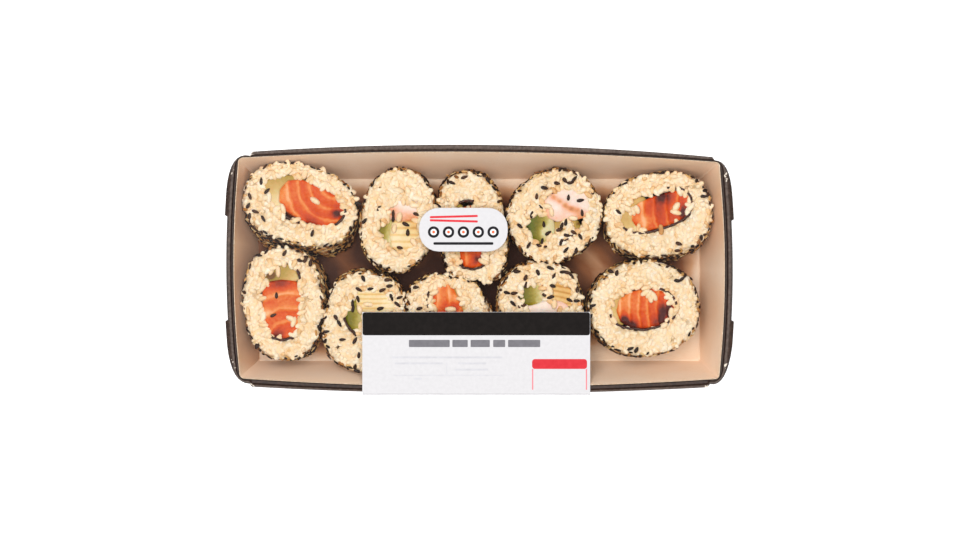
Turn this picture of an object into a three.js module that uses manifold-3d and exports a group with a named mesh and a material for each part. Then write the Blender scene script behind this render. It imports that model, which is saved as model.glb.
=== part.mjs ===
// A takeaway sushi tray: a folded paperboard tray with flaring walls, black outside and bare board inside,
// holding ten inside-out rolls that stand on end, two rows of five. A clear film is sealed across the rim.
// It carries a small round-ended sticker, and a price label bent over the front rim and down the wall.
//
// Millimetres, +Z up, +X along the tray, +Y to the back. The origin is on the table, under the middle of the
// part's box.

import * as THREE from "three";
import { mergeVertices } from "three/addons/utils/BufferGeometryUtils.js";
import Module from "manifold-3d";

const wasm = await Module();
wasm.setup();

// ---------------------------------------------------------------- driving dimensions

const tray = {
  height: 34,
  floor: 1, // thickness of the bottom
  floorHalf: [94, 38.7], // the floor's crease lines
  bow: { long: 3.4, short: 2.4 }, // how far the middle of a rim edge springs outwards
  cornerTurn: 13, // how far along an end wall the rounded turn of the board reaches
};

// The walls in order round the tray: which way is out, and how thick the board is at the rim. An end wall is
// of double board. A long wall also has an outer ply, with its thickness at the wall's start, middle and end.
const boards = [
  { out: [0, -1], board: 2.4, ply: [1.2, 0.8, 1.3] },
  { out: [1, 0], board: 3.75 },
  { out: [0, 1], board: 1.1, ply: [1.2, 2.2, 1.5] },
  { out: [-1, 0], board: 3.5 },
];
const plySlant = 1; // the outer ply's ends are cut at a slant

// The rim's inside corners, in order round the tray, which the folding has pulled a little out of square.
// "turn" is how far along the long wall the rounded turn of the board reaches. The turn's curve bends towards
// the square outer corner, moved by "pull".
const corners = [
  { at: [-99.4, -44.9], turn: 3.6, pull: [1.8, 0] },
  { at: [99.6, -45.1], turn: 3.4, pull: [-2.4, -1.6] },
  { at: [99.6, 44.5], turn: 1.4, pull: [-1, 0] },
  { at: [-99.9, 46.3], turn: 4.3, pull: [1.4, 2] },
];
const flap = { reach: 23.5, thickness: 1, slant: 0.6 }; // glued corner flap, outside an end wall
const film = { thickness: 0.3, seal: 0.7 };
const sticker = { centre: [-6.6, 16.7], size: [36.9, 18.2], round: 8.2, thickness: 0.3 };
const label = {
  left: -48.7, right: 46.2, back: -17.6, front: -52.15, // its plan, from above
  thickness: 0.3, bend: 0.7, bottom: 9, // the radius of its bend and the height of its lower edge
};

const gap = 0.3; // between neighbouring solids
const rice = {
  relief: 1.1, // depth of the grains' bumps
  shoulder: 1.6, // the cut edges are rounded
  levels: [5.5, 11, 16.5, 21.5], // heights of the rings round a roll, between its base and its cut face
  faceRings: [0.14, 0.56, 1], // where the rings of the cut face lie, from its edge to the seaweed
  faceRelief: 0.9, // depth of the bumps on the cut face
  steps: 32, // points of a ring
};
const seed = {
  length: 3.2, width: 1.9, thickness: 1.4,
  onSide: 11, onFace: 14, // how many a roll has
  faceBand: [0.15, 0.6], // where they lie on the cut face, from its edge to the seaweed
};
const nori = { thickness: 0.5, below: 1.1, steps: 16 }; // the seaweed ends a little under the cut face
const fillingSteps = 12;

// An oval is [centre x, centre y, half length, half width, turn in degrees, squareness]: squareness 2 is an
// ellipse, and more is boxier. "core" is the outside of the seaweed. A filling gives way to those before it
// in its list, and all are trimmed by the seaweed. A roll's base is "lean" further along X and Y than its cut
// face.
const rolls = [
  {
    outline: [-75, 27.5, 24.7, 17.2, -14, 2.3], core: [-73.5, 29, 18.4, 9.6, -20, 2.3],
    height: 29, lean: [-1, -6],
    fillings: [
      ["salmon", -70, 27.9, 14.4, 8, -24, 2.5],
      ["avocado", -82.6, 33.4, 12, 8.6, 0, 2.6],
    ],
  },
  {
    outline: [-34.2, 20.8, 15.9, 22.2, -8, 2.2], core: [-32.3, 20.4, 11, 13.2, -8, 2.3],
    height: 27, lean: [0, 0],
    fillings: [
      ["shrimp", -31.2, 27.6, 10.4, 7.2, 0, 3],
      ["omelette", -28, 14.6, 9.2, 8, 0, 3],
      ["cucumber", -40, 15.6, 5.4, 9, 0, 3],
    ],
  },
  {
    outline: [-3, 17.1, 14.6, 24.7, 8, 2.5], core: [-3.7, 14.6, 8, 14.6, 6, 2.8],
    height: 26.5, lean: [0, 0.5],
    fillings: [
      ["salmon", -2.6, 13.4, 6.3, 13.4, 6, 3.6],
      ["avocado", -9, 16.2, 4.2, 12, 6, 2.8],
    ],
  },
  {
    outline: [31.5, 22.7, 20.4, 19, 36, 2.2], core: [33.4, 22.3, 15.4, 10, 36, 2.4],
    height: 27, lean: [0, 0],
    fillings: [
      ["shrimp", 38.4, 28.2, 11.4, 7.4, 10, 3],
      ["cucumber", 25.6, 16.2, 6, 8, 0, 2.8],
      ["avocado", 35.6, 16.4, 7, 6, 20, 2.8],
    ],
  },
  {
    outline: [75.2, 23.1, 23, 18.4, 8, 2.3], core: [73.9, 24.8, 15.9, 8.4, 17, 2.5],
    height: 26.5, lean: [0, -2],
    fillings: [
      ["salmon", 76.4, 24.8, 13, 6.6, 18, 3],
      ["avocado", 64, 23.6, 8, 7.6, 10, 2.6],
    ],
  },
  {
    outline: [-82.1, -13.9, 17.4, 24.1, 4, 2.3], core: [-82.5, -13.1, 8.8, 16.3, 2, 3],
    height: 29, lean: [2, 0],
    fillings: [
      ["salmon", -82.5, -17, 8.4, 12.6, 2, 4.4],
      ["avocado", -82.5, 0, 8.4, 5.4, 0, 3],
    ],
  },
  {
    outline: [-48, -21.9, 18.2, 21.3, -6, 2.4], core: [-45.7, -17.7, 11.1, 10.2, 0, 2.4],
    height: 27, lean: [0, 1],
    fillings: [
      ["omelette", -42.6, -12.2, 9, 5.6, 0, 3.4],
      ["cucumber", -53, -19.4, 5.2, 7.4, 0, 3],
      ["shrimp", -42.2, -23.2, 8.4, 6, 0, 3],
    ],
  },
  {
    outline: [-12.2, -22.7, 18.4, 22.6, 25, 2.5], core: [-12.8, -16.1, 8.2, 11.2, 22, 2.6],
    height: 26, lean: [0, 0],
    fillings: [
      ["salmon", -13.6, -16.1, 6, 11.2, 22, 3.6],
      ["avocado", -7.2, -14.7, 4, 10, 22, 2.8],
    ],
  },
  {
    outline: [25.4, -16.8, 18.4, 20.7, 0, 2.4], core: [28.1, -12.6, 11.9, 9.2, 0, 2.4],
    height: 27, lean: [0, 0],
    fillings: [
      ["cucumber", 20.9, -9.6, 6.4, 5.4, 10, 2.8],
      ["shrimp", 27.4, -18, 10.4, 5.2, 0, 3],
      ["omelette", 34.4, -9.2, 6.8, 6.4, -10, 3],
    ],
  },
  {
    outline: [69.3, -16.2, 23.6, 20.5, 3, 2.15], core: [68.5, -16.2, 14.2, 9, 4, 2.3],
    height: 27.5, lean: [-1, 0],
    fillings: [
      ["salmon", 70, -16.4, 12.4, 8.2, 4, 2.4],
      ["avocado", 57, -15.8, 5.2, 8, 0, 2.6],
    ],
  },
];

const colours = {
  board: 0x2a2523,
  film: 0xffffff,
  paper: 0xf5f4f6,
  rice: 0xead3ae,
  nori: 0x231812,
  salmon: 0xee6f3c,
  avocado: 0xcfc25f,
  shrimp: 0xf8cdb6,
  omelette: 0xf2db8c,
  cucumber: 0x86a03a,
};

// ---------------------------------------------------------------- shapes

// Seeded draws, so that every build gives the same grains and seeds.
function drawer(state) {
  return () => {
    state = (state + 0x6d2b79f5) | 0;
    let t = Math.imul(state ^ (state >>> 15), 1 | state);
    t = (t + Math.imul(t ^ (t >>> 7), 61 | t)) ^ t;
    return ((t ^ (t >>> 14)) >>> 0) / 4294967296;
  };
}

const lerp = THREE.MathUtils.lerp;
const radians = THREE.MathUtils.degToRad;

// The outline of an oval, grown outwards or, with a negative value, inwards. It starts at the end of its
// length.
function ovalOutline([x, y, length, width, turn, square], steps, grow = 0) {
  const rounded = (v) => Math.sign(v) * Math.abs(v) ** (2 / square);
  return Array.from({ length: steps }, (_, i) => {
    const angle = (2 * Math.PI * i) / steps;
    const arm = new THREE.Vector2(
      (length + grow) * rounded(Math.cos(angle)),
      (width + grow) * rounded(Math.sin(angle)),
    );
    return arm.rotateAround(new THREE.Vector2(), radians(turn)).add(new THREE.Vector2(x, y));
  });
}

// A solid from rings of points: each ring is joined to the next, and the ends are capped, or joined if it
// loops.
function loft(rings, loops = false) {
  const count = rings[0].length;
  const faces = [];
  const bands = loops ? rings.length : rings.length - 1;
  for (let k = 0; k < bands; k++) {
    const [low, high] = [k * count, ((k + 1) % rings.length) * count];
    for (let i = 0; i < count; i++) {
      const j = (i + 1) % count;
      faces.push(low + i, low + j, high + j, low + i, high + j, high + i);
    }
  }
  if (!loops) {
    const flat = (ring) => ring.map((p) => new THREE.Vector2(p.x, p.y));
    const last = (rings.length - 1) * count;
    for (const [a, b, c] of THREE.ShapeUtils.triangulateShape(flat(rings[0]), [])) faces.push(a, c, b);
    for (const [a, b, c] of THREE.ShapeUtils.triangulateShape(flat(rings.at(-1)), []))
      faces.push(last + a, last + b, last + c);
  }
  const geometry = new THREE.BufferGeometry().setFromPoints(rings.flat());
  return geometry.setIndex(faces);
}

// The same outline at a height, moved by dx and dy.
const level = (outline, z, dx = 0, dy = 0) => outline.map((p) => new THREE.Vector3(p.x + dx, p.y + dy, z));

function plate(shape, z, thickness) {
  const options = { depth: thickness, bevelEnabled: false, curveSegments: 5 };
  return new THREE.ExtrudeGeometry(shape, options).translate(0, 0, z);
}

function solid(geometry) {
  geometry.deleteAttribute("normal");
  geometry.deleteAttribute("uv");
  const merged = mergeVertices(geometry, 1e-3);
  return new wasm.Manifold(
    new wasm.Mesh({
      numProp: 3,
      vertProperties: merged.attributes.position.array,
      triVerts: new Uint32Array(merged.index.array),
    }),
  );
}

function geometryOf(manifold) {
  const { vertProperties, triVerts, numProp } = manifold.getMesh();
  const points = new THREE.BufferAttribute(vertProperties, numProp);
  return new THREE.BufferGeometry().setAttribute("position", points).setIndex([...triVerts]);
}

const group = new THREE.Group();

function add(name, colour, geometry, looks = {}) {
  const color = colours[colour];
  const material = new THREE.MeshStandardMaterial({ color, roughness: 0.7, metalness: 0, ...looks });
  const mesh = new THREE.Mesh(geometry, material);
  mesh.name = name;
  group.add(mesh);
}

// ---------------------------------------------------------------- tray

// The four walls, in order round the tray, with where each rim edge runs.
const walls = boards.map((sizes, k) => {
  const [start, end] = [corners[k], corners[(k + 1) % corners.length]];
  const long = sizes.out[0] === 0;
  return {
    ...sizes,
    from: start.at,
    to: end.at,
    long,
    length: Math.hypot(end.at[0] - start.at[0], end.at[1] - start.at[1]),
    bow: long ? tray.bow.long : tray.bow.short,
    pull: end.pull,
    turns: long ? [start.turn, end.turn] : [tray.cornerTurn, tray.cornerTurn],
  };
});

// A point on the inside of a wall: share runs along the wall, and height from 0 at the floor to 1 at the rim.
// The bow of the rim fades towards the floor, where the crease is straight.
function wallPoint(wall, share, height, outwards = 0) {
  const bow = wall.bow * (1 - (2 * share - 1) ** 2);
  const [x, y] = [0, 1].map((k) => {
    const rim = lerp(wall.from[k], wall.to[k], share) + bow * wall.out[k];
    const crease = tray.floorHalf[k] * lerp(Math.sign(wall.from[k]), Math.sign(wall.to[k]), share);
    return lerp(crease, rim, height) + outwards * wall.out[k];
  });
  return new THREE.Vector2(x, y);
}

// How thick the outer ply of a long wall is at a share of its length.
function plyAt(wall, share) {
  const [start, middle, end] = wall.ply;
  const away = 2 * share - 1;
  return lerp(middle, away < 0 ? start : end, away ** 2);
}

// Stations along a wall: [share of its length, how thick the board is there]. The outer ply of a long wall
// has slanting ends, and an end wall has a glued flap near each corner.
function stations(wall) {
  const [start, end] = [wall.turns[0] / wall.length, 1 - wall.turns[1] / wall.length];
  const even = (from, to, steps, thickness) =>
    Array.from({ length: steps + 1 }, (_, i) => lerp(from, to, i / steps)).map((at) => [at, thickness(at)]);
  if (wall.long) {
    const slant = plySlant / wall.length;
    const ply = even(start + slant, end - slant, 8, (at) => wall.board + plyAt(wall, at));
    return [[start, wall.board], ...ply, [end, wall.board]];
  }
  const reach = flap.reach / wall.length;
  const slant = flap.slant / wall.length;
  const flapped = () => wall.board + flap.thickness;
  return [
    ...even(start, reach, 2, flapped),
    ...even(reach + slant, 1 - reach - slant, 3, () => wall.board),
    ...even(1 - reach, end, 2, flapped),
  ];
}

// The curve round a corner, from one wall's point to the next wall's, without its two ends. It bends towards
// the square corner, moved by the pull.
function cornerPoints(start, end, wall, pull = [0, 0]) {
  const square = wall.long ? [end.x, start.y] : [start.x, end.y];
  const aim = new THREE.Vector2(square[0] + pull[0], square[1] + pull[1]);
  const curve = new THREE.QuadraticBezierCurve(start, aim, end);
  return [0.25, 0.5, 0.75].map((t) => curve.getPoint(t));
}

// A ring round the inside of the tray has tight corners.
function insideRing(height, outwards = 0) {
  const tight = 1.2; // the length of a wall that its corner takes
  return walls.flatMap((wall, k) => {
    const next = walls[(k + 1) % walls.length];
    const start = wallPoint(wall, 1 - tight / wall.length, height, outwards);
    const end = wallPoint(next, tight / next.length, height, outwards);
    const along = stations(wall).map(([share]) => wallPoint(wall, share, height, outwards));
    return [...along, ...cornerPoints(start, end, wall)];
  });
}

// A ring round the outside follows the thickness of the board, and turns each corner in a rounded fold.
function outsideRing(height) {
  return walls.flatMap((wall, k) => {
    const next = walls[(k + 1) % walls.length];
    const along = stations(wall).map(([share, board]) => wallPoint(wall, share, height, board));
    const [share, board] = stations(next)[0];
    const end = wallPoint(next, share, height, board);
    return [...along, ...cornerPoints(along.at(-1), end, wall, wall.pull)];
  });
}

const trayRings = [
  level(outsideRing(0), 0),
  level(outsideRing(1), tray.height),
  level(insideRing(1), tray.height),
  level(insideRing(0), tray.floor),
];

add("tray", "board", loft(trayRings), { roughness: 0.6 });

// ---------------------------------------------------------------- film, sticker and label

const filmTop = tray.height + film.thickness;

const filmShape = new THREE.Shape(insideRing(1, film.seal));
add("film", "film", plate(filmShape, tray.height, film.thickness), {
  roughness: 0.1, transparent: true, opacity: 0.15,
});

function stickerShape() {
  const [x, y] = sticker.centre;
  const [width, height] = sticker.size.map((size) => size / 2 - sticker.round);
  const shape = new THREE.Shape();
  [[1, 1], [-1, 1], [-1, -1], [1, -1]].forEach(([right, back], quarter) => {
    const start = (Math.PI / 2) * quarter;
    shape.absarc(x + right * width, y + back * height, sticker.round, start, start + Math.PI / 2);
  });
  return shape;
}

add("sticker", "paper", plate(stickerShape(), filmTop, sticker.thickness), { roughness: 0.5 });

// One face of the label, in a plane across the tray: flat on the film, round the bend and down beside the
// wall.
function labelFace(thickness) {
  const front = walls[0];
  const wallFall = (wallPoint(front, 0.5, 0).y - wallPoint(front, 0.5, 1).y) / tray.height;
  const radius = label.bend - label.thickness + thickness;
  const pivot = [label.front + label.bend, filmTop + label.thickness - label.bend];
  const [start, turn] = [Math.PI / 2, Math.atan(1 / wallFall)];
  const bend = new THREE.EllipseCurve(...pivot, radius, radius, start, start + turn);
  const points = [new THREE.Vector2(label.back, filmTop + thickness), ...bend.getPoints(4)];
  const end = points.at(-1);
  return [...points, new THREE.Vector2(end.x + wallFall * (end.y - label.bottom), label.bottom)];
}

function labelGeometry() {
  const section = new THREE.Shape([...labelFace(label.thickness), ...labelFace(0).toReversed()]);
  const axes = [[0, 1, 0], [0, 0, 1], [1, 0, 0]].map((axis) => new THREE.Vector3(...axis));
  const acrossTray = new THREE.Matrix4().makeBasis(...axes);
  return plate(section, label.left, label.right - label.left).applyMatrix4(acrossTray);
}

add("label", "paper", labelGeometry(), { roughness: 0.5 });

// ---------------------------------------------------------------- rolls

const topOf = (roll) => tray.floor + roll.height;

// Where a roll's centre is at a height, as a shift from its place in the cut face.
function leanAt(roll, z) {
  const share = (topOf(roll) - z) / roll.height;
  return new THREE.Vector2(...roll.lean).multiplyScalar(share);
}

const centreAt = (roll, z) => new THREE.Vector2(roll.outline[0], roll.outline[1]).add(leanAt(roll, z));

// How far a roll's free outline reaches from its centre in a direction.
function reachTowards(roll, direction) {
  const fineSteps = 72;
  const [, , ...shape] = roll.outline;
  return Math.max(...ovalOutline([0, 0, ...shape], fineSteps).map((p) => p.dot(direction)));
}

// Rolls that would run into each other press flat on an upright plane between them: the planes round a roll,
// each with its direction and its distance from the roll's centre.
function contactPlanes(roll, z) {
  const centre = centreAt(roll, z);
  const planes = [];
  for (const other of rolls.filter((each) => each !== roll)) {
    const normal = centreAt(other, z).sub(centre);
    const distance = normal.length();
    normal.normalize();
    const own = reachTowards(roll, normal);
    const theirs = reachTowards(other, normal.clone().negate());
    const limit = (distance * own) / (own + theirs) - gap;
    if (own + theirs > distance - 2 * gap) planes.push({ normal, limit });
  }
  return planes;
}

// How much of its arm from the roll's centre a point of the free outline keeps, when the neighbours and the
// tray's walls have pressed it in.
function pressedShare(point, centre, planes, z) {
  const arm = point.clone().sub(centre);
  let share = 1;
  for (const { normal, limit } of planes) {
    if (arm.dot(normal) > limit) share = Math.min(share, limit / arm.dot(normal));
  }
  const height = (z - tray.floor) / (tray.height - tray.floor);
  for (const wall of walls) {
    const [across, along] = wall.long ? [1, 0] : [0, 1];
    const place = (point.getComponent(along) - wall.from[along]) / (wall.to[along] - wall.from[along]);
    const inside = wallPoint(wall, THREE.MathUtils.clamp(place, 0, 1), height).getComponent(across);
    const reach = arm.getComponent(across) * wall.out[across];
    const room = (inside - centre.getComponent(across)) * wall.out[across] - 2 * gap;
    if (reach > room) share = Math.min(share, room / reach);
  }
  return share;
}

function riceOutline(roll, z, shrink = 0) {
  const centre = centreAt(roll, z);
  const planes = contactPlanes(roll, z);
  const [, , ...shape] = roll.outline;
  return ovalOutline([centre.x, centre.y, ...shape], rice.steps, -shrink).map((point) =>
    centre.clone().lerp(point, pressedShare(point, centre, planes, z)));
}

// Grains show as bumps: each point of an outline is pushed in by its own amount.
function bumpy(outline, centre, draw) {
  return outline.map((point) => {
    const arm = point.clone().sub(centre);
    return arm.setLength(arm.length() - rice.relief * draw()).add(centre);
  });
}

// A ring of rice: up its round side, over the cut face to the seaweed, and back down beside the seaweed.
function riceGeometry(roll, draw) {
  const top = topOf(roll);
  const side = (z, shrink) => level(bumpy(riceOutline(roll, z, shrink), centreAt(roll, z), draw), z);
  const edgeHeight = top - rice.shoulder;
  const edge = riceOutline(roll, edgeHeight, rice.shoulder / 3);
  const hole = ovalOutline(roll.core, rice.steps, gap);
  const face = (share) =>
    edge.map((p, i) => {
      const point = p.clone().lerp(hole[i], share);
      return new THREE.Vector3(point.x, point.y, top - rice.faceRelief * draw());
    });
  const base = leanAt(roll, tray.floor);
  return loft([
    side(tray.floor, rice.shoulder / 2),
    ...rice.levels.map((z) => side(z, 0)),
    level(bumpy(edge, centreAt(roll, edgeHeight), draw), edgeHeight),
    ...rice.faceRings.map(face),
    level(hole, tray.floor, base.x, base.y),
  ], true);
}

// A sesame seed: a flat drop of eight faces that lies on a surface with the given normal.
function seedSolid(position, normal, draw) {
  const geometry = new THREE.OctahedronGeometry(0.5);
  geometry.scale(seed.length, seed.width, seed.thickness);
  geometry.rotateZ(2 * Math.PI * draw());
  geometry.applyQuaternion(new THREE.Quaternion().setFromUnitVectors(new THREE.Vector3(0, 0, 1), normal));
  geometry.translate(position.x, position.y, position.z);
  return solid(geometry);
}

// Seeds lie on the round side and on the cut face, spread evenly by the golden angle: [position, normal].
function seedPlaces(roll, draw) {
  const places = [];
  const top = topOf(roll);
  const goldenTurn = (3 - Math.sqrt(5)) / 2;
  const stepOf = (i) => Math.floor(((i * goldenTurn) % 1) * rice.steps);
  for (let i = 0; i < seed.onSide; i++) {
    const z = lerp(rice.levels[0], top - 2 * rice.shoulder, (i + 0.5) / seed.onSide);
    const edge = riceOutline(roll, z)[stepOf(i)];
    const out = edge.clone().sub(centreAt(roll, z)).normalize();
    const point = edge.addScaledVector(out, -rice.relief);
    places.push([new THREE.Vector3(point.x, point.y, z), new THREE.Vector3(out.x, out.y, 0)]);
  }
  const outline = riceOutline(roll, top, rice.shoulder);
  const hole = ovalOutline(roll.core, rice.steps);
  for (let i = 0; i < seed.onFace; i++) {
    const [near, far] = [outline[stepOf(i + 0.5)], hole[stepOf(i + 0.5)]];
    const { x, y } = near.clone().lerp(far, lerp(...seed.faceBand, draw()));
    const place = [new THREE.Vector3(x, y, top - rice.faceRelief / 2), new THREE.Vector3(0, 0, 1)];
    if (near.distanceTo(far) > 2 * seed.length) places.push(place); // a narrow band of rice stays bare
  }
  return places;
}

// A piece that runs through a roll from the tray's floor to a little under the cut face, along the roll's
// lean.
function column(roll, outline, below = 0) {
  const upright = plate(new THREE.Shape(outline), -roll.height, roll.height - below);
  const [x, y] = roll.lean.map((lean) => -lean / roll.height);
  const leaning = new THREE.Matrix4().makeShear(0, 0, 0, 0, x, y);
  return solid(upright.applyMatrix4(leaning).translate(0, 0, topOf(roll)));
}

function addRoll(roll, number) {
  const name = String(number).padStart(2, "0");
  const draw = drawer(number);
  let body = solid(riceGeometry(roll, draw));
  for (const [position, normal] of seedPlaces(roll, draw)) body = body.add(seedSolid(position, normal, draw));
  add(`rice_${name}`, "rice", geometryOf(body), { roughness: 0.6 });

  const wrap = column(roll, ovalOutline(roll.core, nori.steps), nori.below);
  const inside = column(roll, ovalOutline(roll.core, nori.steps, -nori.thickness));
  add(`nori_${name}`, "nori", geometryOf(wrap.subtract(inside)), { roughness: 0.4 });

  const room = column(roll, ovalOutline(roll.core, nori.steps, -nori.thickness - gap));
  let taken = null;
  for (const [kind, ...oval] of roll.fillings) {
    let piece = column(roll, ovalOutline(oval, fillingSteps), nori.below * draw()).intersect(room);
    if (taken) piece = piece.subtract(taken);
    const grown = column(roll, ovalOutline(oval, fillingSteps, gap));
    taken = taken ? taken.add(grown) : grown;
    add(`${kind}_${name}`, kind, geometryOf(piece), { roughness: 0.4 });
  }
}

rolls.forEach((roll, i) => addRoll(roll, i + 1));

export default group;
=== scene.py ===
"""A takeaway sushi tray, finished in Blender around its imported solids: a folded carton, ten inside-out rolls
of brown rice, a clear film, a small sticker and a price label."""

import math

import bmesh
import bpy
import numpy as np
from mathutils import Matrix, Vector, noise
from mathutils.bvhtree import BVHTree


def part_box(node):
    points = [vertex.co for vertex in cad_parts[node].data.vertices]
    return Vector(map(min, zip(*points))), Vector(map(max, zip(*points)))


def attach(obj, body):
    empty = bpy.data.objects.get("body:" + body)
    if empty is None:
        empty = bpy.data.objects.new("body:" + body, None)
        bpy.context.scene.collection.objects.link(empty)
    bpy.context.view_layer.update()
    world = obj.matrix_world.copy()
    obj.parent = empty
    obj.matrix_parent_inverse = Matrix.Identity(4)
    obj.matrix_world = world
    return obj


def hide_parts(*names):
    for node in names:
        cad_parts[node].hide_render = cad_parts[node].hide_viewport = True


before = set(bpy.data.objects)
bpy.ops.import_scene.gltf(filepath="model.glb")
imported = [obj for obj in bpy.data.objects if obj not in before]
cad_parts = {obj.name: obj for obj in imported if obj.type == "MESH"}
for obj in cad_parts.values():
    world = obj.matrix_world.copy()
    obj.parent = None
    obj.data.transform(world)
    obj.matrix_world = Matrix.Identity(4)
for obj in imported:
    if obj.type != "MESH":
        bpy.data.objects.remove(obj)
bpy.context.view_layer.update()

# ---------------------------------------------------------------- tray
# The carton is cut from half-millimetre board, printed black on one side and left bare on the other, then
# folded up and glued. The long walls are rolled over at the rim, and the end walls carry a flap at each
# corner. All sizes are in millimetres.

MM = 0.001
tray_height = 34.0
floor_top = 1.0
floor_half = (94.0, 38.7)
# The rim's inside corners from the front left one round, how far from each the long walls turn into it, and
# how far its curve is pulled.
corners = [(-99.4, -44.9), (99.6, -45.1), (99.6, 44.5), (-99.9, 46.3)]
corner_turns = [3.6, 3.4, 1.4, 4.3]
corner_pulls = [(1.8, 0), (-2.4, -1.6), (-1, 0), (1.4, 2)]
end_turn = 13.0
# The walls from the front one round: which way is out, the board's thickness at the rim, and that of a long
# wall's rolled outer ply at its start, middle and end.
boards = [
    ((0, -1), 2.4, (1.2, 0.8, 1.3)),
    ((1, 0), 3.75, None),
    ((0, 1), 1.1, (1.2, 2.2, 1.5)),
    ((-1, 0), 3.5, None),
]
ply_slant = 1.0
flap = {"thick": 1.0, "reach": 23.5, "slant": 0.6}
bows = {"long": 3.4, "short": 2.4}
cut_width = 0.35
tight_corner = 1.2
corner_steps = 7
long_steps, flap_steps, end_steps = 25, 5, 9

# The section of a wall has four columns for its way out: millimetres inwards, then shares of the cut edge, of
# the rest of the board and of the outer ply. Then come the share of its height, its height in millimetres,
# how much painted highlight greys the print, and the face that follows.
KRAFT, CUT_EDGE, PRINTED = 0, 1, 2
inside_rows = [
    (1.1, 0, 0, 0, 0.00, 1.0, 0, KRAFT),
    (0.6, 0, 0, 0, 0.00, 0.8, 0, KRAFT),
    (0.0, 0, 0, 0, 0.00, 1.0, 0, KRAFT),
    (0.0, 0, 0, 0, 0.25, 9.2, 0, KRAFT),
    (0.0, 0, 0, 0, 0.50, 17.4, 0, KRAFT),
    (0.0, 0, 0, 0, 0.75, 25.6, 0, KRAFT),
]
# A long wall's board turns down and up again into the ply, which leaves a furrow beside the ply's back. The
# back is painted grey as a highlight.
ply_rows = [
    (0, 0.0, 0.00, 0.00, 1, 33.8, 0.0, CUT_EDGE),
    (0, 0.3, 0.00, 0.00, 1, 34.0, 0.0, CUT_EDGE),
    (0, 1.0, 0.00, 0.00, 1, 34.0, 0.0, PRINTED),
    (0, 1.0, 0.05, 0.00, 1, 33.5, 0.0, PRINTED),
    (0, 1.0, 0.20, 0.00, 1, 32.8, 0.0, PRINTED),
    (0, 1.0, 0.75, 0.00, 1, 32.8, 0.0, PRINTED),
    (0, 1.0, 0.94, 0.00, 1, 33.5, 0.1, PRINTED),
    (0, 1.0, 1.00, 0.15, 1, 33.9, 0.8, PRINTED),
    (0, 1.0, 1.00, 0.35, 1, 34.0, 1.0, PRINTED),
    (0, 1.0, 1.00, 0.80, 1, 34.0, 1.0, PRINTED),
    (0, 1.0, 1.00, 0.96, 1, 33.8, 0.6, PRINTED),
    (0, 1.0, 1.00, 1.00, 1, 33.3, 0.0, PRINTED),
]
# An end wall is two boards with a furrow between them, and the back of the outer one is painted grey as a
# highlight.
end_rows = [
    *ply_rows[:3],
    (0, 1.0, 0.04, 0.0, 1, 33.4, 0.0, PRINTED),
    (0, 1.0, 0.12, 0.0, 1, 32.4, 0.0, PRINTED),
    (0, 1.0, 0.30, 0.0, 1, 32.4, 0.0, PRINTED),
    (0, 1.0, 0.38, 0.0, 1, 33.5, 0.1, PRINTED),
    (0, 1.0, 0.44, 0.0, 1, 33.9, 0.8, PRINTED),
    (0, 1.0, 0.52, 0.0, 1, 34.0, 1.0, PRINTED),
    (0, 1.0, 0.72, 0.0, 1, 34.0, 0.9, PRINTED),
    (0, 1.0, 0.84, 0.4, 1, 33.6, 0.1, PRINTED),
    (0, 1.0, 1.00, 1.0, 1, 32.8, 0.0, PRINTED),
]
outside_rows = [
    (0, 1.0, 1.00, 1.00, 0.66, 22.6, 0, PRINTED),
    (0, 1.0, 1.00, 1.00, 0.33, 11.6, 0, PRINTED),
    (0, 1.0, 1.00, 1.00, 0.00, 0.5, 0, PRINTED),
    (0, 1.0, 0.90, 0.60, 0.00, 0.0, 0, PRINTED),
]
long_section = inside_rows + ply_rows + outside_rows
end_section = inside_rows + end_rows + outside_rows

walls = []
for k, (out, board, ply) in enumerate(boards):
    start, end = corners[k], corners[(k + 1) % 4]
    walls.append({
        "from": start,
        "to": end,
        "out": out,
        "board": board,
        "ply": ply,
        "length": math.dist(start, end),
        "bow": bows["long"] if ply else bows["short"],
        "turns": (corner_turns[k], corner_turns[(k + 1) % 4]) if ply else (end_turn, end_turn),
        "pull": corner_pulls[(k + 1) % 4],
    })


def stations(wall):
    """Where a wall is drawn: shares of its length, each with how thick its outer ply or its flap is there."""
    length = wall["length"]
    start, end = wall["turns"][0] / length, 1 - wall["turns"][1] / length
    if wall["ply"]:
        first, middle, last = wall["ply"]
        shares = np.linspace(start + ply_slant / length, end - ply_slant / length, long_steps)
        rolled = [(s, middle + ((first if s < 0.5 else last) - middle) * (2 * s - 1) ** 2) for s in shares]
        return [(start, 0.0), *rolled, (end, 0.0)]
    reach, slant = flap["reach"] / length, flap["slant"] / length
    near = [(share, flap["thick"]) for share in np.linspace(start, reach, flap_steps)]
    middle = [(share, 0.0) for share in np.linspace(reach + slant, 1 - reach - slant, end_steps)]
    far = [(share, flap["thick"]) for share in np.linspace(1 - reach, end, flap_steps)]
    return [*near, *middle, *far]


def wall_point(wall, share, height, outwards=0.0):
    """A point of the wall's inside face: height runs from 0 at the floor to 1 at the rim."""
    bow = wall["bow"] * (1 - (2 * share - 1) ** 2)
    point = []
    for k in (0, 1):
        rim = wall["from"][k] + share * (wall["to"][k] - wall["from"][k]) + bow * wall["out"][k]
        sides = [math.copysign(floor_half[k], wall[side][k]) for side in ("from", "to")]
        crease = sides[0] + share * (sides[1] - sides[0])
        point.append(crease + height * (rim - crease) + outwards * wall["out"][k])
    return Vector(point)


def fold(start, end, wall, pull=(0, 0)):
    """The curve of the board round a corner, without its ends; it bends towards the square corner, pulled."""
    corner = Vector((end.x, start.y) if wall["ply"] else (start.x, end.y)) + Vector(pull)
    shares = [(i + 1) / (corner_steps + 1) for i in range(corner_steps)]
    return [start.lerp(corner, t).lerp(corner.lerp(end, t), t) for t in shares]


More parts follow.
